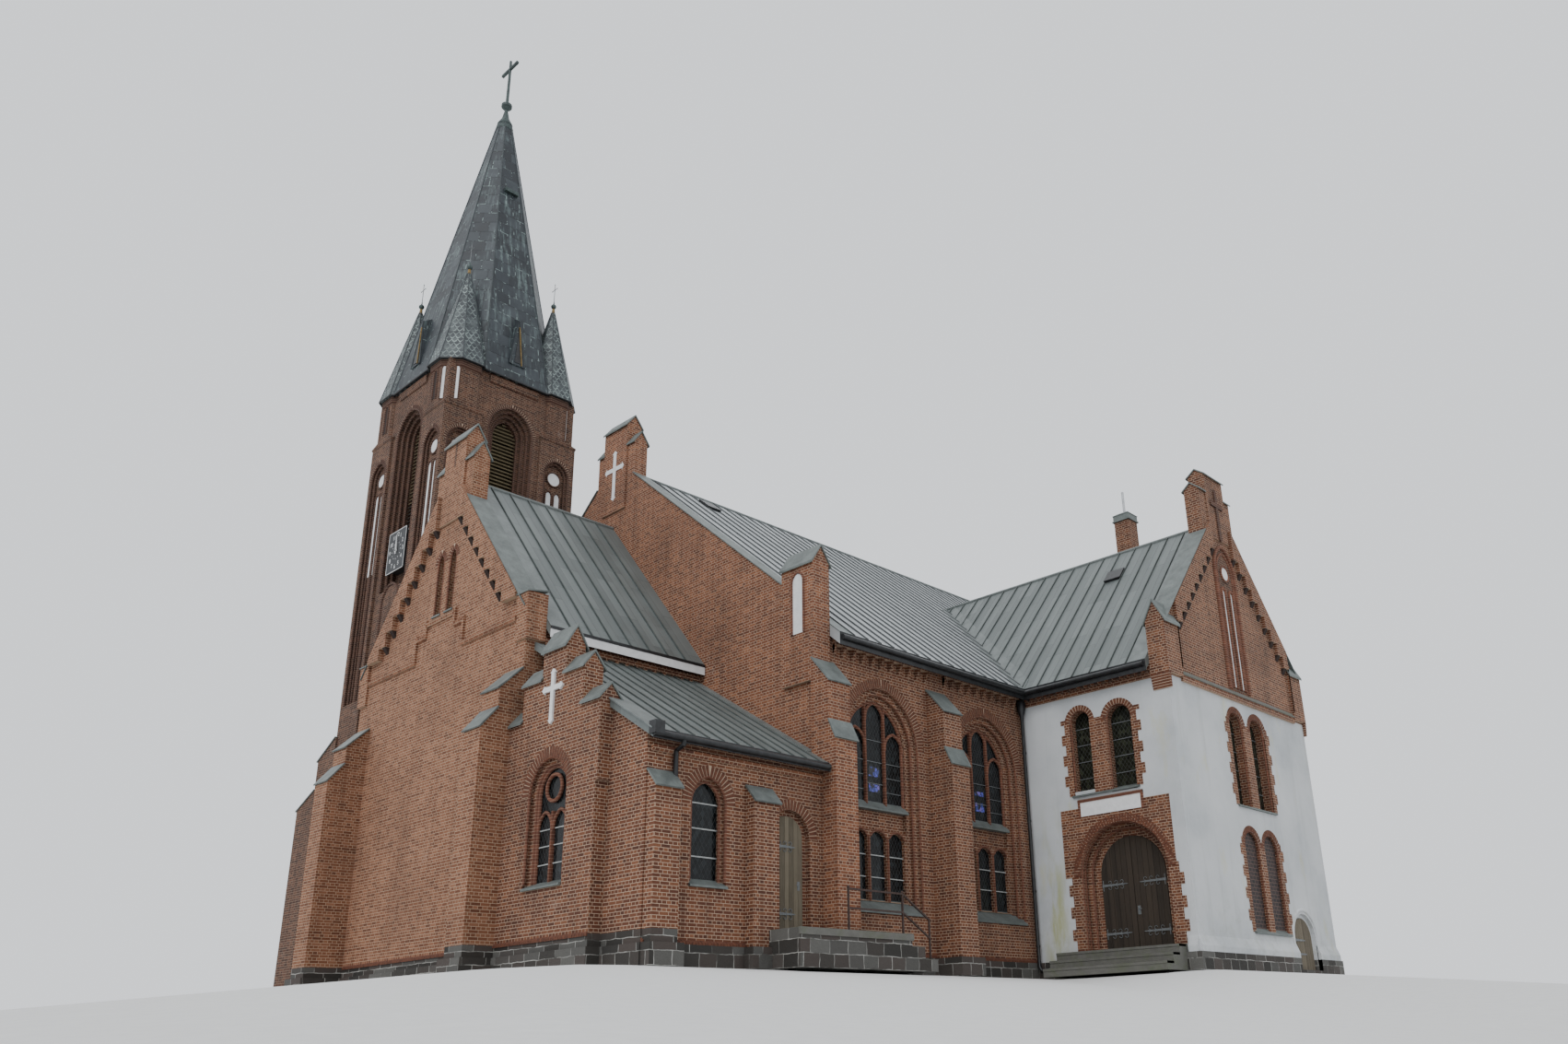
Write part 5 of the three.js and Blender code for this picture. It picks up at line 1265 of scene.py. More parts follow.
def nave_sides():
    centres = [2.42, 6.83]
    west = [NAVE_WEST - c for c in centres]
    for side in (-1, 1):
        wall = Wall("y", side, side * NAVE_HALF)
        for centre in centres + west:
            bay_window(wall, centre)
        start = 0.62 if side < 0 else 1.6
        corbel_table(wall, start, 4.25, 8.22)
        corbel_table(wall, 5.0, WING_EAST - 0.02, 8.22)
        corbel_table(wall, WING_WEST + 0.02, 20.85, 8.22)
        corbel_table(wall, 21.6, NAVE_WEST - 0.62, 8.22)
        ends = [(-0.15, 0.6), (4.25, 5.0), (20.85, 21.6), (25.25, 26.0)]
        for u0, u1 in ends:
            if side > 0 and u0 < 0:
                continue
            slope_cap(wall, u0, u1, (0.0, 7.55), (0.59, 6.87))
            slope_cap(wall, u0, u1, (0.57, 5.865), (0.79, 5.41))
    south = Wall("y", -1, -NAVE_HALF)
    for centre, levels in ((2.42, ((4.55, 4.75), (4.95, 5.2))), (6.83, ((4.55, 4.8), (5.0, 5.12)))):
        for z0, z1 in levels:
            batch("stained_panes", "stained").box(south, centre - 0.2, centre + 0.2, z0, z1, -0.34, -0.334)


def chancel():
    wall = Wall("x", -1, CHANCEL_EAST)
    for side in (-1, 1):
        stepped_verge(
            wall, 0.0, side, 0.6, 3.95, 14.19, 1.23, 0.62, 0.34, 9.2, 0.15, "chancel_verges", "lit_brick_pale"
        )
    rake_cap(wall, 0.0, 0.97, CHANCEL_HALF, 14.2, 1.23, -WALL_GABLE - 0.03, 0.12)
    saddle_cap("x", -0.575, 0.575, CHANCEL_EAST - 0.06, CHANCEL_EAST + WALL_GABLE, 15.02, 0.41)
    for u0, u1 in ((-0.97, -0.575), (0.575, 0.97)):
        saddle_cap("x", u0, u1, CHANCEL_EAST, CHANCEL_EAST + WALL_GABLE, 14.32, 0.41)
    for side in (-1, 1):
        ends = sorted((side * 3.95, side * 4.47))
        x0, x1 = CHANCEL_EAST - 0.08, CHANCEL_EAST + WALL_GABLE
        batch("chancel_kneelers", "lit_brick_pale").block(x0, x1, *ends, 8.7, 9.22)
        out, y0, y1 = x0 - 0.03, ends[0] - 0.03, ends[1] + 0.03
        under, over = [
            [(out, y0, low), (x1, y0, high), (x1, y1, high), (out, y1, low)]
            for low, high in ((9.2, 9.3), (9.24, 9.34))
        ]
        batch("caps", "cap").loft(under, over)
        slope_cap(wall, *sorted((side * 3.6, side * 4.36)), (0.0, 7.25), (0.6, 6.65))
        slope_cap(wall, *sorted((side * 3.6, side * 4.36)), (0.58, 6.17), (1.0, 5.65))
    string = batch("chancel_strings", "lit_brick_pale")
    levels = [
        (-3.9, -1.26, 8.67), (-1.26, -0.76, 9.33), (-0.76, 0.76, 9.67), (0.76, 1.26, 9.33), (1.26, 3.9, 8.67),
    ]
    for u0, u1, z in levels:
        string.run(wall, [(-0.02, z - 0.12), (0.05, z - 0.1), (0.08, z), (-0.02, z + 0.09)], u0, u1)
    for u, z0, z1 in ((-1.26, 8.58, 9.42), (1.26, 8.58, 9.42), (-0.76, 9.25, 9.76), (0.76, 9.25, 9.76)):
        string.box(wall, u - 0.05, u + 0.05, z0, z1, -0.02, 0.06)
    for side in (-1, 1):
        centre = side * 0.33
        glazing(wall, arch_outline(centre, 0.17, 9.85, 11.35, 0.12), -0.2)
        rolls(wall, centre, 0.175, 9.85, 11.35, 0.12, -0.02, 0.032)
        arch_ring(wall, centre, 0.2, 11.35, 0.12, 0.12)
        bars(wall, centre, 0.17, [10.2, 10.6, 11.0, 11.4], -0.2, 0.01)
        sill(wall, centre - 0.22, centre + 0.22, 9.92, 9.82, -0.2, 0.04)
        eaves = Wall("y", side, side * CHANCEL_HALF)
        board = Wall("y", side, side * CHANCEL_EDGE)
        low = CHANCEL_RIDGE - CHANCEL_FALL * CHANCEL_EDGE
        u0, u1 = CHANCEL_EAST + WALL_GABLE, -0.02 if side < 0 else -3.75
        batch("white_boards", "white").box(board, u0, u1, low - 0.28, low - 0.06, 0.0, 0.02)
        batch("eaves_edge", "gutter").box(board, u0, u1, low - 0.06, low + 0.02, 0.0, 0.03)
        corbel_table(eaves, CHANCEL_EAST + 0.5, u1, 8.1, 0.3, "chancel_corbels", "brick")
    # A flush plate of dark tower brick stands for the shade in the pier's slit: painted shade.
    pier = batch("chancel_pier_slit_shade", "brick_dark")
    pier.box(Wall("x", -1, CHANCEL_EAST - 0.06), -0.05, 0.05, 14.2, 14.95, -0.01, 0.006)


def sacristy():
    """The sacristy's stepped parapet, its cross and its front window."""
    front = Wall("x", -1, SAC_FRONT)
    centre, back = -6.1, SAC_FRONT + 0.5
    eave, ridge = 7.32, 7.75
    saddle_cap("x", centre - 0.47, centre + 0.47, SAC_FRONT, back, eave, ridge - eave, "caps", 0.07)
    for near, far, eave, ridge in ((0.47, 1.22, 6.63, 6.95), (1.22, 1.98, 5.75, 6.05)):
        for side in (-1, 1):
            ends = sorted((centre + side * near, centre + side * far))
            u0, u1 = max(ends[0], -8.01), min(ends[1], -CHANCEL_HALF)
            saddle_cap("x", u0, u1, SAC_FRONT, back, eave, ridge - eave, "caps", 0.07)
    cross = cross_outline(-6.13, 5.9 + 0.4, 6.77, 5.45, 0.41, 0.06, 0.1)
    batch("white_crosses", "white").plate(front, cross, 0.0, 0.05)
    c, half, foot, spring, lean = -6.125, 0.76, 1.85, 3.9, 0.04
    arch_ring(front, c, half, spring, lean)
    for i in range(2):
        rolls(front, c, half - 0.13 * i, foot + 0.1, spring, lean, -0.13 * i - 0.035, 0.038)
    depth = -0.24
    half = 0.6
    glazing(front, arch_outline(c, half, foot, spring, lean), depth)
    bricks = batch("mullions", "moulded")
    bricks.trim(front, circle(c, 4.03, 0.3), depth + 0.05, 0.045, 8, True)
    mullion(front, c, foot, 3.5, depth, 0.045)
    for side in (-1, 1):
        bricks.trim(front, arch_path(c + side * 0.3, 0.27, 3.08, 3.13, 0.14, 8), depth + 0.04, 0.04)
        bars(front, c + side * 0.3, 0.25, [2.35, 2.75, 3.12], depth, 0.012)
    bricks.trim(front, arch_path(c, half - 0.02, foot, spring, lean, 12), depth + 0.03, 0.05)
    sill(front, c - 0.74, c + 0.74, 2.0, 1.84, -0.3, 0.06)
    sacristy_side(Wall("y", -1, SAC_SOUTH))


def sacristy_side(south):
    """The window, door arch, buttress slopes and band of the sacristy's south wall."""
    c, half, low, spring, lean = -3.6, 0.5, 1.67, 3.43, 0.1
    arch_ring(south, c, half, spring, lean)
    rolls(south, c, half, low + 0.1, spring, lean, -0.035, 0.038)
    rolls(south, c, half - 0.1, low + 0.1, spring, lean, -0.14, 0.035)
    glazing(south, arch_outline(c, 0.4, low, spring, lean), -0.22)
    bars(south, c, 0.4, [2.3, 2.9, 3.45], -0.22, 0.014)
    sill(south, c - 0.52, c + 0.52, 1.83, 1.68, -0.22, 0.06)
    arch_ring(south, -1.19, 0.62, 2.95, 0.0)
    for u0, u1 in ((-5.27, -4.6), (-2.55, -1.8)):
        slope_cap(south, u0, u1, (0.0, 3.95), (0.29, 3.62), "caps", 0.03, 0.04, 0.08)
    band = batch("corbels", "brick")
    band.run(south, [(-0.02, 4.36), (0.05, 4.36), (0.1, 4.48), (-0.02, 4.48)], SAC_BACK + 0.1, -0.2)
    rowlock_course()


def rowlock_course():
    """Headers on edge on top of the plinth."""
    bricks = batch("plinth_course", "voussoir")
    runs = [
        (Wall("y", -1, SAC_SOUTH), -5.3, -1.75, 0.0), (Wall("x", -1, SAC_FRONT), -7.95, -4.36, 0.22),
        (Wall("y", -1, -NAVE_HALF), 0.65, 4.2, 0.0), (Wall("y", -1, -NAVE_HALF), 5.05, 8.6, 0.0),
        (Wall("x", -1, CHANCEL_EAST), -3.55, 3.55, 0.22),
    ]
    for wall, u0, u1, up in runs:
        count = round((u1 - u0) / 0.085)
        step = (u1 - u0) / count
        for i in range(count):
            u = u0 + i * step
            out = 0.075 if up == 0.0 else 0.03
            profile = [(-0.02, up + 0.445), (out, up + 0.445), (out, up + 0.5), (-0.02, up + 0.56)]
            bricks.run(wall, profile, u + 0.005, u + step - 0.005)


# Transepts

TOOTH = 0.3
TOOTH_REACH = 0.2


def toothed(wall, left, right, z0, z1):
    """Brick quoins beside openings, long and short by turns."""
    z = z0
    odd = False
    while z < z1 - 0.02:
        top = min(z + TOOTH, z1)
        wide = TOOTH_REACH if odd else TOOTH_REACH * 0.42
        for edge, side in ((left, -1), (right, 1)):
            batch("toothing", "brick").box(wall, *sorted((edge, edge + side * wide)), z, top, -0.03, 0.012)
        z = top
        odd = not odd


def pair_windows(wall, windows, sill_z, depth=-0.3, grille=False):
    """Two round-headed windows side by side with a brick surround."""
    left = min(c - h for c, h, _ in windows)
    right = max(c + h for c, h, _ in windows)
    spring = min(s for _, _, s in windows)
    toothed(wall, left - 0.1, right + 0.1, sill_z - 0.02, spring + 0.25)
    bricks = batch("toothing", "brick")
    centres = sorted(windows)
    gap = (centres[0][0] + centres[0][1], centres[1][0] - centres[1][1])
    bricks.box(wall, gap[0] - 0.01, gap[1] + 0.01, sill_z, spring + 0.15, -0.03, 0.012)
    for c, h, s in windows:
        for side in (-1, 1):
            ends = sorted((c + side * h, c + side * (h + 0.11)))
            bricks.box(wall, *ends, sill_z, s, -0.03, 0.013)
        arch_ring(wall, c, h, s, 0.0, 0.16)
        outline = arch_outline(c, h - 0.005, sill_z, s, 0.0)
        if grille:
            batch("grilles", "grille").plate(wall, outline, -0.16, -0.1)
            rim = batch("grille_frames", "moulded")
            rim.trim(wall, arch_path(c, h, sill_z, s, 0.0, 12), -0.03, 0.03, 6)
            continue
        rolls(wall, c, h, sill_z, s, 0.0, -0.06, 0.035)
        batch("wing_window_glass", "wing_glass").plate(wall, outline, depth - 0.02, depth)
        for k in range(1, 5):
            z = sill_z + (s + h - sill_z) * k / 5
            w = half_width(z, h, s, 0.0)
            iron = batch("dark_bars", "hinge")
            iron.box(wall, c - w, c + w, z - 0.009, z + 0.009, depth - 0.005, depth + 0.02)
    sill(wall, left - 0.08, right + 0.08, sill_z + 0.1, sill_z - 0.02, depth, 0.06)


def transept(side):
    gable = Wall("y", side, side * WING_FACE)
    east = Wall("x", -1, WING_EAST)
    west = Wall("x", 1, WING_WEST)
    half = (WING_WEST - WING_EAST) / 2
    rise = WING_RAKE_FOOT + WING_RAKE_FALL * half
    for turn in (-1, 1):
        stepped_verge(
            gable, WING_MIDDLE, turn, 0.62, half - 0.7, rise - 0.02, WING_RAKE_FALL, 0.6, 0.34, 8.1, 0.12
        )
    rake_cap(gable, WING_MIDDLE, 1.0, half, rise, WING_RAKE_FALL, -0.52, 0.1)
    back = side * (WING_FACE - 0.49)
    y0, y1 = sorted((side * (WING_FACE + 0.04), back))
    saddle_cap("y", WING_MIDDLE - 0.6, WING_MIDDLE + 0.6, y0, y1, 15.15, 0.2)
    y0, y1 = sorted((side * WING_FACE, back))
    for u0, u1 in ((-1.0, -0.6), (0.6, 1.0)):
        saddle_cap("y", WING_MIDDLE + u0, WING_MIDDLE + u1, y0, y1, 14.55, 0.2)
    y0, y1 = sorted((side * (WING_FACE + 0.09), back))
    for u0 in (WING_EAST - 0.09, WING_WEST + 0.09 - 0.8):
        saddle_cap("y", u0, u0 + 0.8, y0, y1, 9.4, 0.55)
    ends = (WING_EAST + 0.7, WING_WEST - 0.7)
    ledge = batch("wing_ledges", "brick")
    ledge.run(gable, [(-0.02, 7.72), (0.07, 7.72), (0.07, 7.9), (-0.02, 8.06)], *ends)
    rail = batch("ledge_tops", "steps")
    rail.run(gable, [(0.0, 8.06), (0.09, 7.93), (0.09, 7.9), (0.0, 8.02)], *ends)
    gable_recess(gable)
    for wall in (east, west):
        ends = sorted((side * (WING_FACE + 0.09), side * (WING_FACE - 0.49)))
        kneeler_corbel(wall, ends[0], ends[1], 0.09)
        run = sorted((side * 8.98, side * (WING_FACE - 0.5)))
        frieze(wall, run[0], run[1])
    upper = [(-11.0, 0.335, 7.015), (-12.27, 0.405, 6.895)]
    pair = [(side * -c, h, s) for c, h, s in upper]
    pair_windows(east, pair, 4.93)
    pair_windows(west, pair, 4.93)
    pair_windows(gable, [(12.385, 0.425, 6.95), (13.72, 0.48, 6.9)], 4.6)
    pair_windows(gable, [(12.4, 0.45, 3.42), (13.6, 0.45, 3.42)], 1.09, -0.1, True)


def kneeler_corbel(wall, u0, u1, proud):
    """Courses of brick that step out under a kneeler, with pale joints between them."""
    dark = batch("kneeler_bricks", "voussoir")
    pale = batch("kneeler_joints", "mortar")
    for i in range(6):
        z = 7.86 - COURSE * (i + 1)
        out = proud * (1 - i / 7)
        dark.box(wall, u0, u1, z + 0.016, z + COURSE, -0.02, out)
        pale.box(wall, u0 + 0.006, u1 - 0.006, z, z + 0.02, -0.02, out - 0.006)


def frieze(wall, u0, u1):
    """The brick band between plaster and eaves."""
    bricks = batch("wing_frieze", "brick")
    profile = [(-0.02, 7.8), (0.02, 7.8), (0.02, 8.0), (0.09, 8.05), (0.09, 8.26), (-0.02, 8.3)]
    bricks.run(wall, profile, u0, u1)
    teeth = batch("wing_frieze_teeth", "brick_dark")
    count = round((u1 - u0) / 0.24)
    step = (u1 - u0) / count
    for i in range(count):
        u = u0 + (i + 0.5) * step
        teeth.box(wall, u - 0.05, u + 0.05, 7.94, 8.05, 0.0, 0.07)


def gable_recess(wall):
    """The tall blind recess in a transept gable: two lancets and a disc in white."""
    c = WING_MIDDLE
    rolls(wall, c, 0.62, 8.1, 11.95, 0.25, 0.02, 0.06)
    rolls(wall, c, 0.48, 8.1, 11.9, 0.22, 0.01, 0.045)
    # A dark brick plate, nearly flush with the gable, stands for the shade in the recess: painted shade.
    shade = batch("painted_recess_shade", "brick_dark")
    shade.plate(wall, arch_outline(c, 0.56, 8.1, 11.92, 0.22), -0.01, 0.012)
    white = batch("blind_panels", "white")
    disc = circle(c, 11.88, 0.24, 24)
    white.plate(wall, disc, 0.0, 0.03)
    batch("mouldings", "moulded").trim(wall, disc, 0.03, 0.035, 6, True)
    for turn in (-1, 1):
        u = c + turn * 0.24
        white.plate(wall, arch_outline(u, 0.075, 8.2, 11.2, 0.06), 0.0, 0.016)
        rolls(wall, u, 0.12, 8.15, 11.2, 0.06, 0.03, 0.045)
    dark = batch("pier_crosses", "moulded_dark")
    dark.plate(wall, cross_outline(c, 14.2, 14.75, 12.95, 0.42, 0.075, 0.09), 0.03, 0.085)


DOOR_MIDDLE = -11.99
DOOR_FOOT = 0.66
DOOR_SPRING = 2.66


def big_door():
    """The arch, spandrels, quoins and panel round the big door of the south transept."""
    east = Wall("x", -1, WING_EAST)
    centre, foot, spring = DOOR_MIDDLE, DOOR_FOOT, DOOR_SPRING
    inner, ring, top = 1.36, 0.22, 4.55
    arch_ring(east, centre, inner, spring, 0.0, ring)
    for i in range(1, 3):
        depth = -0.48 + (i - 1) * 0.15
        rolls(east, centre, 1.02 + i * 0.2 - 0.06 * (i - 1), foot, spring, 0.0, depth + 0.13, 0.035)
    rolls(east, centre, inner, foot, spring, 0.0, -0.05, 0.035)
    spandrel = batch("door_surround", "brick")
    outer = inner + ring
    left, right = centre + 1.87, centre - outer
    outline = [(right - 0.02, spring), (centre - inner, spring)]
    for k in range(1, 24):
        t = math.pi * (1 - k / 24)
        outline.append((centre + inner * math.cos(t), spring + inner * math.sin(t)))
    outline += [(centre + inner, spring), (left, spring), (left, top), (right - 0.02, top)]
    spandrel.plate(east, outline, -0.18, 0.011)
    toothed(east, right, centre + outer, foot, 2.75)
    for side in (-1, 1):
        edges = sorted((centre + side * inner, centre + side * outer))
        spandrel.box(east, *edges, foot, 2.7, -0.18, 0.011)
    batch("door_panel", "white").box(east, -12.74, -10.81, 4.3, 4.69, -0.02, 0.03)
    edge = batch("door_panel_edge", "moulded")
    for u0, u1, low, out in (
        (-12.82, -12.74, 4.28, 0.035), (-10.81, -10.73, 4.28, 0.035), (-12.82, -10.73, 4.69, 0.045),
    ):
        edge.box(east, u0, u1, low, 4.78, -0.02, out)


def plaster_foot():
    """The plaster's thicker foot round the south transept."""
    foot = batch("plaster_foot", "plaster")
    south = Wall("y", -1, -WING_FACE)
    profile = [(-0.02, 0.02), (0.095, 0.02), (0.095, 0.6), (0.0, 0.86), (-0.02, 0.86)]
    foot.run(south, profile, WING_EAST, 14.39)
    foot.run(south, profile, 15.81, WING_WEST)
    foot.run(Wall("x", -1, WING_EAST), profile, -WING_FACE, -13.72)
    foot.run(Wall("x", 1, WING_WEST), profile, -WING_FACE, -9.1)


BOARD_GAP = 0.004
BOARD_THICK = 0.022


def boards(name, material, body, wall, centre, half, spring, z0, depth, edges, count):
    """Upright boards on a door leaf, cut to the arch."""
    wood = batch(name, material, body)
    u0, u1 = edges
    step = (u1 - u0) / count
    for i in range(count):
        a, b = u0 + i * step + BOARD_GAP, u0 + (i + 1) * step - BOARD_GAP
        outline = [(a, z0), (b, z0)]
        for k in range(5):
            u = b + (a - b) * k / 4
            across = min(abs(u - centre), half - BOARD_GAP)
            rise = math.sqrt(max(half ** 2 - across ** 2, 0.0))
            outline.append((u, spring + rise))
        wood.plate(wall, outline, depth - 0.01, depth + BOARD_THICK)


def strap(name, body, wall, u, z, length, side, depth, curls=True):
    """A wrought strap hinge with curled branches."""
    iron = batch(name, "hinge", body)
    end = u + side * length
    outline = [
        (u, z - 0.035), (u + side * length * 0.75, z - 0.022), (end - side * 0.05, z - 0.012), (end, z),
        (end - side * 0.05, z + 0.012), (u + side * length * 0.75, z + 0.022), (u, z + 0.035),
    ]
    iron.plate(wall, outline, depth, depth + 0.014)
    if not curls:
        return
    for share in (0.28, 0.52, 0.74):
        root = u + side * length * share
        for turn in (-1, 1):
            path = []
            for k in range(9):
                t = k / 8 * math.pi * 1.35
                r = 0.075 * (1 - k / 16)
                path.append((root + side * (r * math.sin(t)), z + turn * (0.02 + r * (1 - math.cos(t)))))
            iron.trim(wall, path, depth + 0.01, 0.0085, 6)
    pin = u + side * 0.03
    iron.trim(wall, [(pin, z - 0.14), (pin, z + 0.14)], depth + 0.006, 0.012, 6)


def handle(name, body, wall, plate, depths, stem, end, radius):
    """A lock plate and a lever that stands off it. Plate is u0, u1, z0 and z1."""
    iron = batch(name, "hinge", body)
    iron.box(wall, *plate, *depths)
    iron.tube([wall.at(*point) for point in (*stem, end)], radius, 8)


def doors():
    east = Wall("x", -1, WING_EAST)
    south = Wall("y", -1, SAC_SOUTH)
    gable = Wall("y", -1, -WING_FACE)
    centre, half, spring = DOOR_MIDDLE, 1.008, DOOR_SPRING
    for name, body, u0, u1, turn in (
        ("south_leaf", "big_door_south", centre - half, centre - 0.007, 1),
        ("north_leaf", "big_door_north", centre + 0.007, centre + half, -1),
    ):
        boards(name + "_boards", "door_dark", body, east, centre, half, spring, 0.664, -0.48, (u0, u1), 6)
        hinge = u0 if turn > 0 else u1
        for z in (1.1, 2.4):
            strap(name + "_straps", body, east, hinge + turn * 0.02, z, 0.82, turn, -0.457)
    stem = ((centre - 0.09, 1.7, -0.45), (centre - 0.09, 1.7, -0.4))
    handle(
        "big_door_lock", "big_door_south", east, (centre - 0.14, centre - 0.05, 1.55, 1.78),
        (-0.46, -0.448), stem, (centre - 0.2, 1.69, -0.395), 0.011,
    )
    c, h = -1.19, 0.49
    body = "sacristy_door"
    boards("sacristy_boards", "door_pale", body, south, c, h, 2.95, 0.822, -0.14, (c - h, c + h), 7)
    for z in (1.24, 2.74):
        strap("sacristy_straps", body, south, c - h + 0.02, z, 0.74, 1, -0.117)
    stem = ((c + 0.36, 1.9, -0.115), (c + 0.36, 1.9, -0.06))
    handle(
        "sacristy_handle", body, south, (c + 0.32, c + 0.4, 1.78, 1.98),
        (-0.12, -0.11), stem, (c + 0.24, 1.895, -0.055), 0.01,
    )
    c, h = 15.1, 0.592
    body = "gable_door"
    boards("gable_door_boards", "door_pale", body, gable, c, h, 1.02, 0.14, -0.11, (c - h, c + h), 7)
    for z in (0.585, 0.975):
        strap("gable_door_straps", body, gable, c - h + 0.02, z, 0.7, 1, -0.087, False)
    ring = arch_path(c, 0.82, 0.05, 1.02, 0.0, 14)
    batch("small_door_plaster", "plaster").trim(gable, ring, -0.01, 0.055)


# Tower

def turret_centres():
    return [(TOWER_X + sx * TURRET, TOWER_Y + sy * TURRET, sx, sy) for sx in (-1, 1) for sy in (-1, 1)]


class Facet:
    """A flat face of a turret that looks along an angle."""

    def __init__(self, x, y, apothem, angle):
        self.out = Vector((math.cos(angle), math.sin(angle), 0))
        self.origin = Vector((x, y, 0)) + self.out * apothem
        self.along = Vector((-math.sin(angle), math.cos(angle), 0))

    def at(self, u, z, d):
        return self.origin + self.along * u + self.out * d + Vector((0, 0, z))


def octagon(x, y, apothem, z):
    radius = apothem / math.cos(math.pi / 8)
    angles = [math.pi / 4 * (i + 0.5) for i in range(8)]
    return [Vector((x + radius * math.cos(a), y + radius * math.sin(a), z)) for a in angles]


def pier_faces():
    """The outer faces of the corner piers, with the middle of each and where its arch starts."""
    faces = []
    for sx in (-1, 1):
        for sy in (-1, 1):
            low = 9.4 if sx < 0 else 13.95
            faces.append((Wall("x", sx, TOWER_X + sx * PIER_OUTER), TOWER_Y + sy * PIER_MIDDLE, low))
            faces.append((Wall("y", sy, TOWER_Y + sy * PIER_OUTER), TOWER_X + sx * PIER_MIDDLE, 13.95))
    return faces


def pier_arches():
    """Two white lancets and a disc in the tall blind arch of each pier face."""
    white = batch("tower_panels", "white")
    moulded = batch("turret_mouldings", "moulded_dark")
    back, spring = -0.18, PIER_SPRING
    for wall, centre, low in pier_faces():
        for i in range(2):
            half, depth = 0.5 - 0.08 * i, -0.09 * i - 0.025
            rolls(wall, centre, half, low + 0.03, spring, 0.09, depth, 0.035, "tower_mouldings")
        arch_ring(wall, centre, 0.5, spring, 0.09, 0.12, 0.012, "tower_rings")
        white.plate(wall, circle(centre, 17.55, 0.245), back - 0.01, back + 0.02)
        moulded.trim(wall, circle(centre, 17.55, 0.27), back + 0.03, 0.032, 6, True)
        for turn in (-1, 1):
            u = centre + turn * 0.168
            white.plate(wall, arch_outline(u, 0.1, 13.98, 16.87, 0.06, 5), back - 0.01, back + 0.015)
            moulded.trim(wall, arch_path(u, 0.13, low + 0.02, 16.87, 0.08, 6), back + 0.03, 0.032, 6)


def pier_outline(sx, sy, grown, z):
    """The pier's square, cut at each corner by a hair, so that it has as many points as a turret."""
    near, far, hair = PIER_INNER - grown, PIER_OUTER + grown, 0.002
    x0, x1 = sorted((TOWER_X + sx * near, TOWER_X + sx * far))
    y0, y1 = sorted((TOWER_Y + sy * near, TOWER_Y + sy * far))
    points = [
        (x1, y1 - hair), (x1 - hair, y1), (x0 + hair, y1), (x0, y1 - hair),
        (x0, y0 + hair), (x0 + hair, y0), (x1 - hair, y0), (x1, y0 + hair),
    ]
    return [Vector((x, y, z)) for x, y in points]


def turrets():
    white = batch("tower_panels", "white")
    moulded = batch("turret_mouldings", "moulded_dark")
    shade = batch("turret_slit_shade", "soot_and_painted_shade")
    ring = batch("turret_strings", "moulded_dark")
    ledge = batch("turret_ledges", "brick_dark")
    for x, y, sx, sy in turret_centres():
        ledge.rings([
            pier_outline(sx, sy, 0.02, STRING_Z - 0.06), pier_outline(sx, sy, 0.03, STRING_Z),
            octagon(x, y, TURRET_HALF + 0.04, STRING_Z + 0.13),
        ])
        ring.rings([
            octagon(x, y, TURRET_HALF + grown, EAVES_Z - down)
            for grown, down in ((-0.02, 0.3), (0.05, 0.22), (0.07, 0.02), (-0.01, 0.01))
        ])
        facet = Facet(x, y, TURRET_HALF, math.atan2(sy, sx))
        for u in (-0.168, 0.168):
            white.plate(facet, arch_outline(u, 0.125, 19.2, 20.3, 0.08, 6), -0.01, 0.012)
            path = arch_path(u, 0.14, 19.18, 20.3, 0.1, 6)
            moulded.trim(facet, path, 0.012, 0.02, 6)
        # A near-black plate on the facet stands for the shade in its blind slit: painted shade.
        facet = Facet(x, y, TURRET_HALF, math.pi if sx < 0 else 0.0)
        shade.plate(facet, arch_outline(0.0, 0.09, 19.3, 20.25, 0.08, 6), -0.01, 0.008)
        moulded.trim(facet, arch_path(0.0, 0.12, 19.28, 20.25, 0.1, 6), 0.01, 0.03, 6)
    pier_arches()


def belfry_boards(wall, centre):
    """Sloping boards that close a belfry opening, the lowest ones dark."""
    half, spring, lean = 0.48, BELFRY_SPRING, BELFRY_LEAN
    z = 15.36
    while z < 19.25:
        reach = half_width(z + 0.1, half, spring, lean)
        if reach > 0.06:
            high = z > 16.25
            name = "louvre_slats" if high else "lower_louvre_slats"
            material = "louvre" if high else "louvre_dark"
            profile = [(-0.6, z + 0.11), (-0.48, z), (-0.47, z + 0.022), (-0.59, z + 0.132)]
            batch(name, material).run(wall, profile, centre - reach, centre + reach)
        z += 0.135


def tower_faces():
    faces = []
    for side in (-1, 1):
        low = 13.0 if side < 0 else 15.3
        faces.append((Wall("x", side, TOWER_X + side * TOWER_HALF), TOWER_Y, low))
    for side in (-1, 1):
        faces.append((Wall("y", side, TOWER_Y + side * TOWER_HALF), TOWER_X, 15.3))
    spring, lean = BELFRY_SPRING, BELFRY_LEAN
    frieze_profile = [(-0.02, 20.3), (0.05, 20.34), (0.08, 20.6), (-0.02, 20.66)]
    for wall, centre, low in faces:
        for i in range(4):
            half, depth = 0.85 - 0.12 * i, -0.13 * i - 0.02
            rolls(wall, centre, half, low + 0.05, spring, lean, depth, 0.04, "tower_mouldings")
        arch_ring(wall, centre, 0.86, spring, lean, 0.13, 0.012, "tower_rings")
        sill(wall, centre - 0.5, centre + 0.5, 15.42, 15.25, -0.66, -0.36)
        batch("tower_friezes", "brick_dark").run(wall, frieze_profile, centre - 0.95, centre + 0.95)
        belfry_boards(wall, centre)
    east = faces[0][0]
    shade = batch("tower_blind_arch", "brick_dark")
    shade.plate(east, arch_outline(TOWER_Y, 0.5, 9.0, 12.5, 0.1), -0.01, 0.012)
    rolls(east, TOWER_Y, 0.56, 9.0, 12.5, 0.1, 0.01, 0.05, "tower_mouldings")
    for x0, x1 in ((-3.8, -3.0), (0.6, 1.4)):
        wall = Wall("y", 1, TOWER_Y + TOWER_HALF)
        slope_cap(wall, x0, x1, (0.0, 8.39), (1.15, 7.77))
        slope_cap(wall, x0, x1, (1.13, 6.81), (2.33, 6.28))


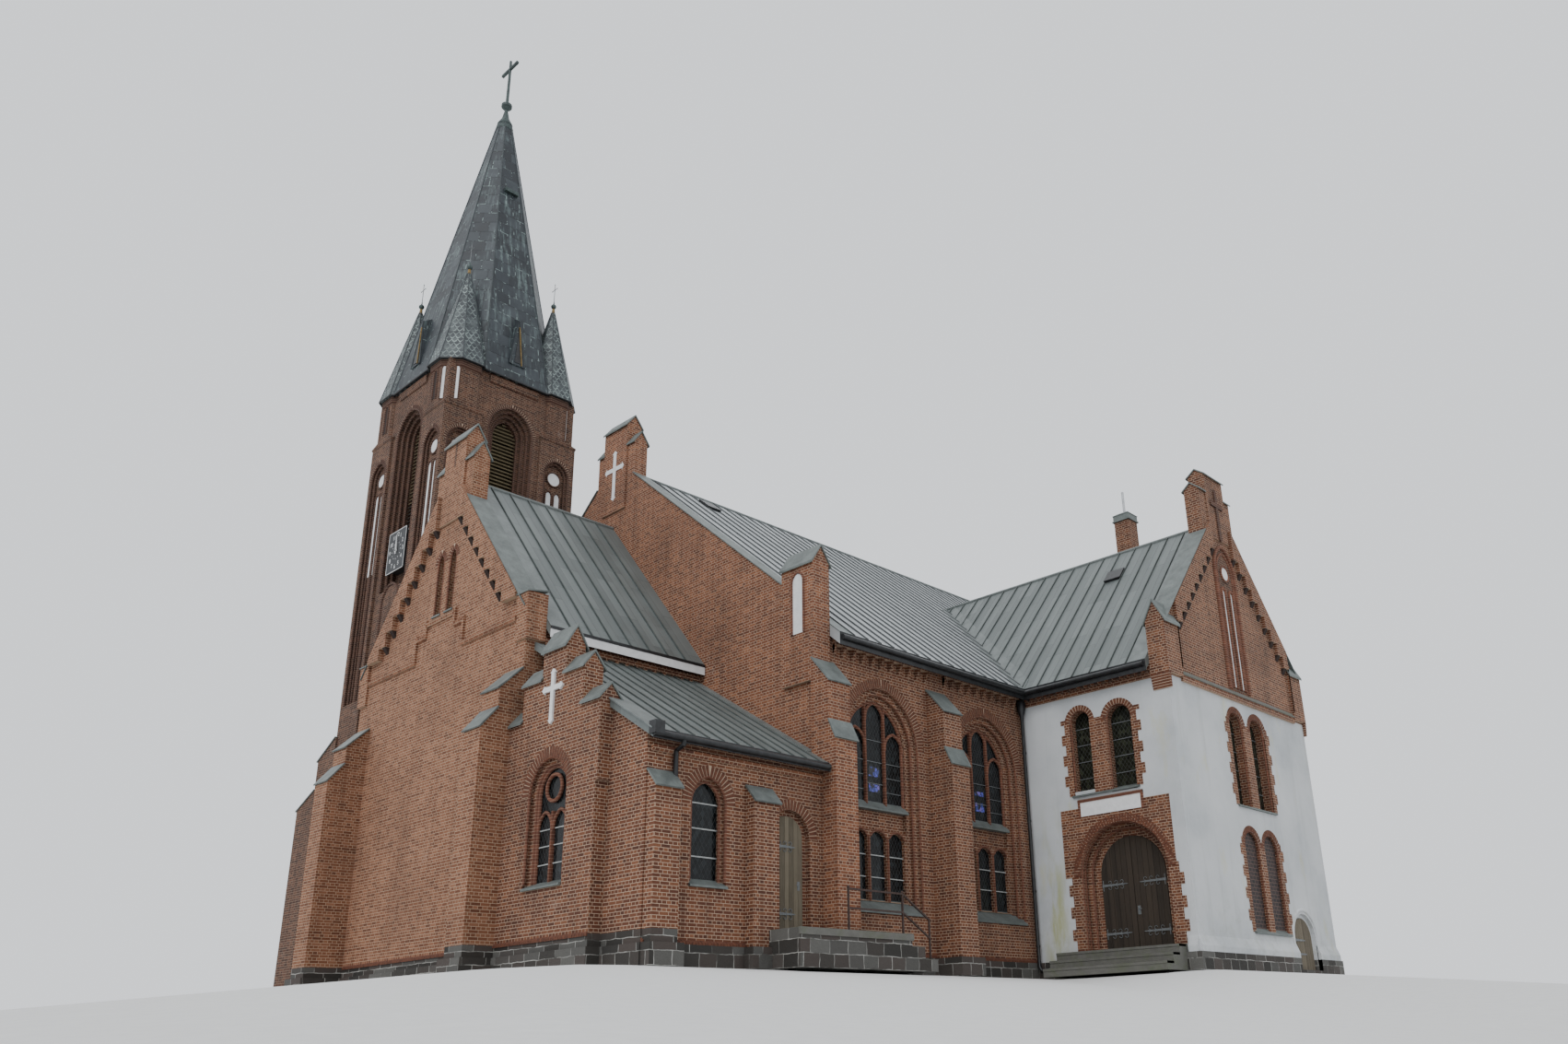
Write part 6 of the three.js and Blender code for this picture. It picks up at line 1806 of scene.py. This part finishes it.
def spire_outline(face, corner, z):
    points = [
        (face, -corner), (face, corner), (corner, face), (-corner, face),
        (-face, corner), (-face, -corner), (-corner, -face), (corner, -face),
    ]
    return [Vector((TOWER_X + x, TOWER_Y + y, z)) for x, y in points]


def spire():
    face, corner, neck, top = SPIRE_FACE, 1.25, SPIRE_NECK, SPIRE_TOP
    hips = batch("spire_hips", "hip")
    low = spire_outline(face, corner, EAVES_Z)
    high = spire_outline(neck, neck * corner / face, top)
    for a, b in zip(low, high):
        hips.tube([a, b], 0.022, 6)
    out = Vector((0, 0, 0.03))
    rim = batch("spire_rim", "gutter")
    for i in range(8):
        j = (i + 1) % 8
        rim.tube([low[i] - out, low[j] - out], 0.035, 6)
    for x, y, _, _ in turret_centres():
        base = octagon(x, y, 0.96, EAVES_Z)
        tip = octagon(x, y, 0.06, 24.7)
        for a, b in zip(base, tip):
            hips.tube([a, b], 0.016, 6)
        for i in range(8):
            rim.tube([base[i] - out * 0.6, base[(i + 1) % 8] - out * 0.6], 0.025, 6)
        batch("finial_feet", "gilt").turned((x, y), [(0.075, 24.6), (0.05, 24.86), (0.03, 24.9)])
        knob = batch("finials", "patina")
        knob.ball((x, y, 24.98), 0.1)
        knob.turned((x, y), [(0.03, 25.05), (0.016, 25.2)], 8)
        rod = batch("finial_crosses", "hinge")
        rod.turned((x, y), [(0.013, 25.15), (0.011, 25.95)], 8)
        rod.tube([(x, y - 0.15, 25.72), (x, y + 0.15, 25.72)], 0.011, 6)
        for turn in (-1, 1):
            rod.ball((x, y + turn * 0.16, 25.72), 0.02, 6, 8)
        rod.ball((x, y, 25.96), 0.02, 6, 8)
    lucarnes()
    collar = batch("spire_collar", "patina")
    profile = [(0.27, 33.1), (0.33, 33.2), (0.33, 33.32), (0.27, 33.42), (0.3, 33.5), (0.1, 33.9)]
    collar.turned((TOWER_X, TOWER_Y), profile, 16)
    hatch = batch("spire_step", "patina")
    z = 29.6
    k = (z - EAVES_Z) / (top - EAVES_Z)
    d = face + (neck - face) * k
    hatch.block(TOWER_X - 0.28, TOWER_X + 0.28, TOWER_Y - d - 0.12, TOWER_Y - d + 0.2, z, z + 0.14)


def lucarnes():
    """Slim triangular dormers low on the spire's wide faces."""
    slope = (SPIRE_FACE - SPIRE_NECK) / (SPIRE_TOP - EAVES_Z)
    for angle in (0.0, math.pi / 2, math.pi, -math.pi / 2):
        facet = Facet(TOWER_X, TOWER_Y, 0.0, angle)
        z0, z1 = 21.35, 23.25
        reach = lambda z: SPIRE_FACE - slope * (z - EAVES_Z)
        front = reach(z0) + 0.04
        foot_l, foot_r = facet.at(-0.3, z0, front), facet.at(0.3, z0, front)
        apex = facet.at(0.0, z1, front - 0.12)
        back_l, back_r = facet.at(-0.3, z0, reach(z0) - 0.05), facet.at(0.3, z0, reach(z0) - 0.05)
        back_top = facet.at(0.0, z1 + 0.25, reach(z1 + 0.25) - 0.03)
        shell = batch("lucarnes", "slate")
        first = len(shell.points)
        shell.points += [foot_l, foot_r, apex, back_l, back_r, back_top]
        for f in ((0, 1, 2), (0, 2, 5, 3), (1, 4, 5, 2), (0, 3, 4, 1), (3, 5, 4)):
            shell.faces.append(tuple(first + i for i in f))
        # A black sheet in the lucarne's front stands for the shade in its opening: painted shade.
        slit = batch("lucarne_slit_shade", "gutter")
        slit.loft(*[
            [
                facet.at(-0.12, z0 + 0.1, front + foot), facet.at(0.12, z0 + 0.1, front + foot),
                facet.at(0.0, z1 - 0.5, front + tip),
            ] for foot, tip in ((-0.01, -0.09), (0.01, -0.07))
        ])
        batch("lucarne_edges", "hip").tube([foot_l, apex, foot_r], 0.022, 6)
        strip = batch("lucarne_strips", "gilt")
        ends = [facet.at(0.16, z0 + 0.03, front + 0.015), facet.at(0.02, z1 - 0.3, front - 0.07)]
        strip.tube(ends, 0.024, 6)


def clock():
    """Plain numbers and marks on the dial, and a pale rim."""
    wall = Wall("x", -1, TOWER_X - TOWER_HALF + 0.02)
    cy, cz = TOWER_Y, 14.33
    marks = batch("dial_marks", "dial_white")
    for k in range(12):
        t = 2 * math.pi * k / 12
        a, b = math.sin(t), math.cos(t)
        outline = []
        for r, s in ((0.27, -1), (0.31, -1), (0.31, 1), (0.27, 1)):
            outline.append((cy + r * a + s * 0.009 * b, cz + r * b - s * 0.009 * a))
        marks.plate(wall, outline, 0.0, 0.004)
    rim = batch("dial_rim", "dial_white")
    u0, u1, z0, z1 = cy - 0.59, cy + 0.59, 13.59, 15.07
    for box in (
        (u0, u1, z0, z0 + 0.02), (u0, u1, z1 - 0.02, z1), (u0, u0 + 0.02, z0, z1), (u1 - 0.02, u1, z0, z1),
    ):
        rim.box(wall, *box, 0.0, 0.006)
    for number in range(1, 13):
        t = 2 * math.pi * number / 12
        text = bpy.data.curves.new(f"number_{number}", "FONT")
        text.body = str(number)
        text.size = 0.21
        text.align_x = "CENTER"
        text.align_y = "CENTER"
        text.extrude = 0.002
        holder = bpy.data.objects.new(f"number_{number}", text)
        bpy.context.scene.collection.objects.link(holder)
        bpy.context.view_layer.update()
        mesh = bpy.data.meshes.new_from_object(holder.evaluated_get(bpy.context.evaluated_depsgraph_get()))
        bpy.data.objects.remove(holder)
        mesh.name = f"dial_number_{number}"
        wide, tall = 0.44, 0.58
        # Seen from the east, the right hand is north, where Y grows, but text is laid out along -Y
        # because the wall faces -X.
        turn = Matrix(((0, 0, -1, 0), (-1, 0, 0, 0), (0, 1, 0, 0), (0, 0, 0, 1)))
        y, z = cy - wide * math.sin(t), cz + tall * math.cos(t)
        spot = Vector((TOWER_X - TOWER_HALF + 0.016, y, z)) + SHIFT
        mesh.transform(Matrix.Translation(spot) @ turn)
        mesh.materials.clear()
        mesh.materials.append(MATERIALS["dial_white"])
        piece = bpy.data.objects.new(f"dial_number_{number}", mesh)
        bpy.context.scene.collection.objects.link(piece)
        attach(piece, BODY)


# Outworks

LANDING_TOP = 0.805
LANDING_SOUTH = -10.52


def landing():
    """Slabs on the landing, its two steps and the steps of the big door, and the railing's knobs."""
    top = batch("landing_slabs", "steps")
    z = LANDING_TOP
    x = -2.1
    while x < 1.49:
        x1 = min(x + 0.6, 1.5)
        y1 = SAC_SOUTH - 0.12 if x1 < 0.2 else -NAVE_HALF - 0.12
        top.block(x + 0.006, x1 - 0.006, LANDING_SOUTH, y1, z, z + 0.012)
        x = x1
    for i in range(2):
        tz = z - 0.27 * (i + 1)
        x0, x1 = 1.5 + 0.45 * i, 1.5 + 0.45 * (i + 1)
        top.block(x0 + 0.01, x1 + 0.02, LANDING_SOUTH, -NAVE_HALF - 0.12, tz - 0.001, tz + 0.012)
    batch("landing_edge", "steps").block(-2.13, 1.53, -10.55, -10.505, z - 0.14, z + 0.014)
    knobs = batch("railing_knobs", "iron")
    for x in (-0.57, 1.24):
        knobs.ball((x, -10.48, z + 0.95), 0.035, 6, 10)
    wing = batch("transept_step_slabs", "steps")
    for i in range(3):
        out = WING_EAST - 0.1 - (3 - i) * 0.34
        tz = 0.65 / 3 * (i + 1) - 0.005
        wing.block(out - 0.015, out + 0.34, -13.64, -9.9, tz - 0.06, tz + 0.004)


def chimney():
    cap = batch("chimney_cap", "cap")
    x0, x1, y0, y1 = 14.0, 14.56, -10.3, -9.74
    cap.block(x0 - 0.05, x1 + 0.05, y0 - 0.05, y1 + 0.05, 15.32, 15.36)
    cap.block(x0 - 0.02, x1 + 0.02, y0 - 0.02, y1 + 0.02, 15.34, 15.56)
    cap.rings([
        [(x0 - g, y0 - g, z), (x1 + g, y0 - g, z), (x1 + g, y1 + g, z), (x0 - g, y1 + g, z)]
        for g, z in ((0.035, 15.55), (0.035, 15.57), (-0.1, 15.66))
    ])
    flue = batch("chimney_flue", "pale_pipe")
    flue.turned((14.28, -10.02), [(0.045, 15.6), (0.045, 16.5)], 12)
    skirt = batch("chimney_skirt", "flash")
    low = wing_z(x1)
    high = wing_z(x0)
    skirt.loft(*[
        [
            (x0 - out, y0 - out, high + up), (x1 + out, y0 - out, low + up),
            (x1 + out, y1 + out, low + up), (x0 - out, y1 + out, high + up),
        ] for out, up in ((0.05, 0.0), (0.02, 0.2))
    ])


# CAD nodes' materials

NODE_MATERIALS = {
    "lit_brick_nave": ["nave_east_gable", "nave_west_gable"],
    "brick": [
        "nave_south_east_wall", "nave_south_west_wall",
        "nave_north_east_wall", "nave_north_west_wall", "chancel_south_wall", "chancel_north_wall",
        "sacristy_south_wall", "sacristy_door_head", "sacristy_door_pier",
        "chimney",
    ],
    "brick_foot": ["sacristy_front_wall"],
    "lit_brick_pale": ["chancel_gable"],
    "brick_dark": ["tower_east_wall", "tower_west_wall", "tower_south_wall", "tower_north_wall"],
    "transept": [
        "south_transept_gable", "south_transept_door_pier", "south_transept_upper_wall",
        "south_transept_west_wall",
    ],
    "north_transept": [
        "north_transept_gable", "north_transept_east_wall", "north_transept_west_wall",
    ],
    "nave_sheet": ["nave_roof_south", "nave_roof_north"],
    "sheet": [
        "south_transept_roof_east", "south_transept_roof_west", "north_transept_roof_east",
        "north_transept_roof_west", "chancel_roof_south", "chancel_roof_north", "sacristy_roof",
    ],
    "granite": ["church_base", "sacristy_landing"],
    "steps": ["transept_steps"],
    "iron": ["sacristy_railing"],
    "door_dark": ["transept_door_leaf_south", "transept_door_leaf_north"],
    "door_pale": ["gable_door", "sacristy_door"],
    "glass": [
        "nave_south_east_glass", "nave_north_east_glass", "nave_west_glass", "south_transept_glass",
        "north_transept_glass", "chancel_glass", "sacristy_front_glass", "sacristy_south_glass",
    ],
    "slate": ["spire"],
    "patina": ["spire_cross"],
    "louvre": ["bell_louvres"],
    "dial": ["clock_dial"],
    "dial_white": ["clock_minute_hand", "clock_hour_hand"],
}


def dress_nodes():
    for material, nodes in NODE_MATERIALS.items():
        for name in nodes:
            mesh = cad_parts[name].data
            mesh.materials.clear()
            mesh.materials.append(MATERIALS[material])


# Stage

CAMERA_PLACE = Vector((-30.1, -29.34, -1.59))
CAMERA_YAW = math.radians(42.451)
CAMERA_PITCH = math.radians(19.82)
CAMERA_ROLL = math.radians(-1.589)
FOCAL_PIXELS = 1306.8
IMAGE = (1702, 1133)
MIDDLE = (941.6, 663.8)
SENSOR = 36.0


def camera():
    forward = Vector((
        math.cos(CAMERA_YAW) * math.cos(CAMERA_PITCH), math.sin(CAMERA_YAW) * math.cos(CAMERA_PITCH),
        math.sin(CAMERA_PITCH),
    ))
    right = Vector((math.sin(CAMERA_YAW), -math.cos(CAMERA_YAW), 0.0))
    up = right.cross(forward)
    turned_right = right * math.cos(CAMERA_ROLL) + up * math.sin(CAMERA_ROLL)
    turned_up = -right * math.sin(CAMERA_ROLL) + up * math.cos(CAMERA_ROLL)
    turn = Matrix((turned_right, turned_up, -forward)).transposed()
    data = bpy.data.cameras.new("camera")
    data.sensor_width = SENSOR
    data.sensor_fit = "HORIZONTAL"
    data.lens = FOCAL_PIXELS / IMAGE[0] * SENSOR
    data.shift_x = -(MIDDLE[0] - IMAGE[0] / 2) / IMAGE[0]
    data.shift_y = (MIDDLE[1] - IMAGE[1] / 2) / IMAGE[0]
    data.clip_end = 500.0
    eye = bpy.data.objects.new("camera", data)
    eye.matrix_world = Matrix.Translation(CAMERA_PLACE) @ turn.to_4x4()
    bpy.context.scene.collection.objects.link(eye)
    bpy.context.scene.camera = eye


# The floor is level out to LEVEL_X and LEVEL_Y, but not in the nook between chancel and transept.
LEVEL_X = 16.4
LEVEL_Y = 14.2
NOOK_X = -1.4
NOOK_Y = -9.6
FLOOR_FALL = 0.1
FLOOR_REACH = 30
FLOOR_DEPTH = 3.0


def ground_height(x, y):
    """Level by the walls, and falling gently away from them."""
    away = math.hypot(max(abs(x) - LEVEL_X, 0.0), max(abs(y) - LEVEL_Y, 0.0))
    if x < NOOK_X and y < NOOK_Y:
        away = max(away, min(NOOK_X - x, NOOK_Y - y))
    return -FLOOR_FALL * away if away < FLOOR_REACH else -FLOOR_DEPTH


def stage():
    near = list(range(-60, 61))
    places = [-900, -200] + near + [200, 900]
    count = len(places)
    points = [(x, y, ground_height(x, y) - 0.004) for y in places for x in places]
    faces = []
    for j in range(count - 1):
        for i in range(count - 1):
            a = j * count + i
            faces.append((a, a + 1, a + count + 1, a + count))
    mesh = bpy.data.meshes.new("floor")
    mesh.from_pydata(points, [], faces)
    mesh.shade_smooth()
    mesh.materials.append(paint_material("pale_floor", (0.62, 0.62, 0.61), (0.66, 0.66, 0.65), 0.9))
    floor = bpy.data.objects.new("floor", mesh)
    bpy.context.scene.collection.objects.link(floor)


def lights():
    world = bpy.data.worlds.new("sky")
    bpy.context.scene.world = world
    world.use_nodes = True
    background = world.node_tree.nodes["Background"]
    background.inputs[0].default_value = (0.93, 0.96, 1.0, 1.0)
    background.inputs[1].default_value = 1.2
    for name, angle, height, strength, width in (
        ("key", 195.0, 44.0, 1.15, 30.0), ("fill", 290.0, 30.0, 0.06, 60.0), ("back", 60.0, 40.0, 0.25, 60.0),
    ):
        data = bpy.data.lights.new(name, "SUN")
        data.energy = strength
        data.angle = math.radians(width)
        lamp = bpy.data.objects.new(name, data)
        a, h = math.radians(angle), math.radians(height)
        towards = Vector((math.cos(a) * math.cos(h), math.sin(a) * math.cos(h), math.sin(h)))
        lamp.rotation_euler = towards.to_track_quat("Z", "Y").to_euler()
        bpy.context.scene.collection.objects.link(lamp)


camera()
dress_nodes()
nave_roof()
wing_roofs()
chancel_roof()
sacristy_roof()
gutters()
downpipes()
east_gable()
west_gable()
gable_piers()
nave_sides()
chancel()
sacristy()
for turn in (-1, 1):
    transept(turn)
big_door()
plaster_foot()
doors()
turrets()
tower_faces()
spire()
clock()
landing()
chimney()
SMOOTH = (
    "gutters", "downpipes", "mouldings", "finials", "mullions", "ridge_caps", "turret_mouldings",
    "tower_mouldings",
)
for part in BATCHES.values():
    part.piece(part.name in SMOOTH)
stage()
lights()
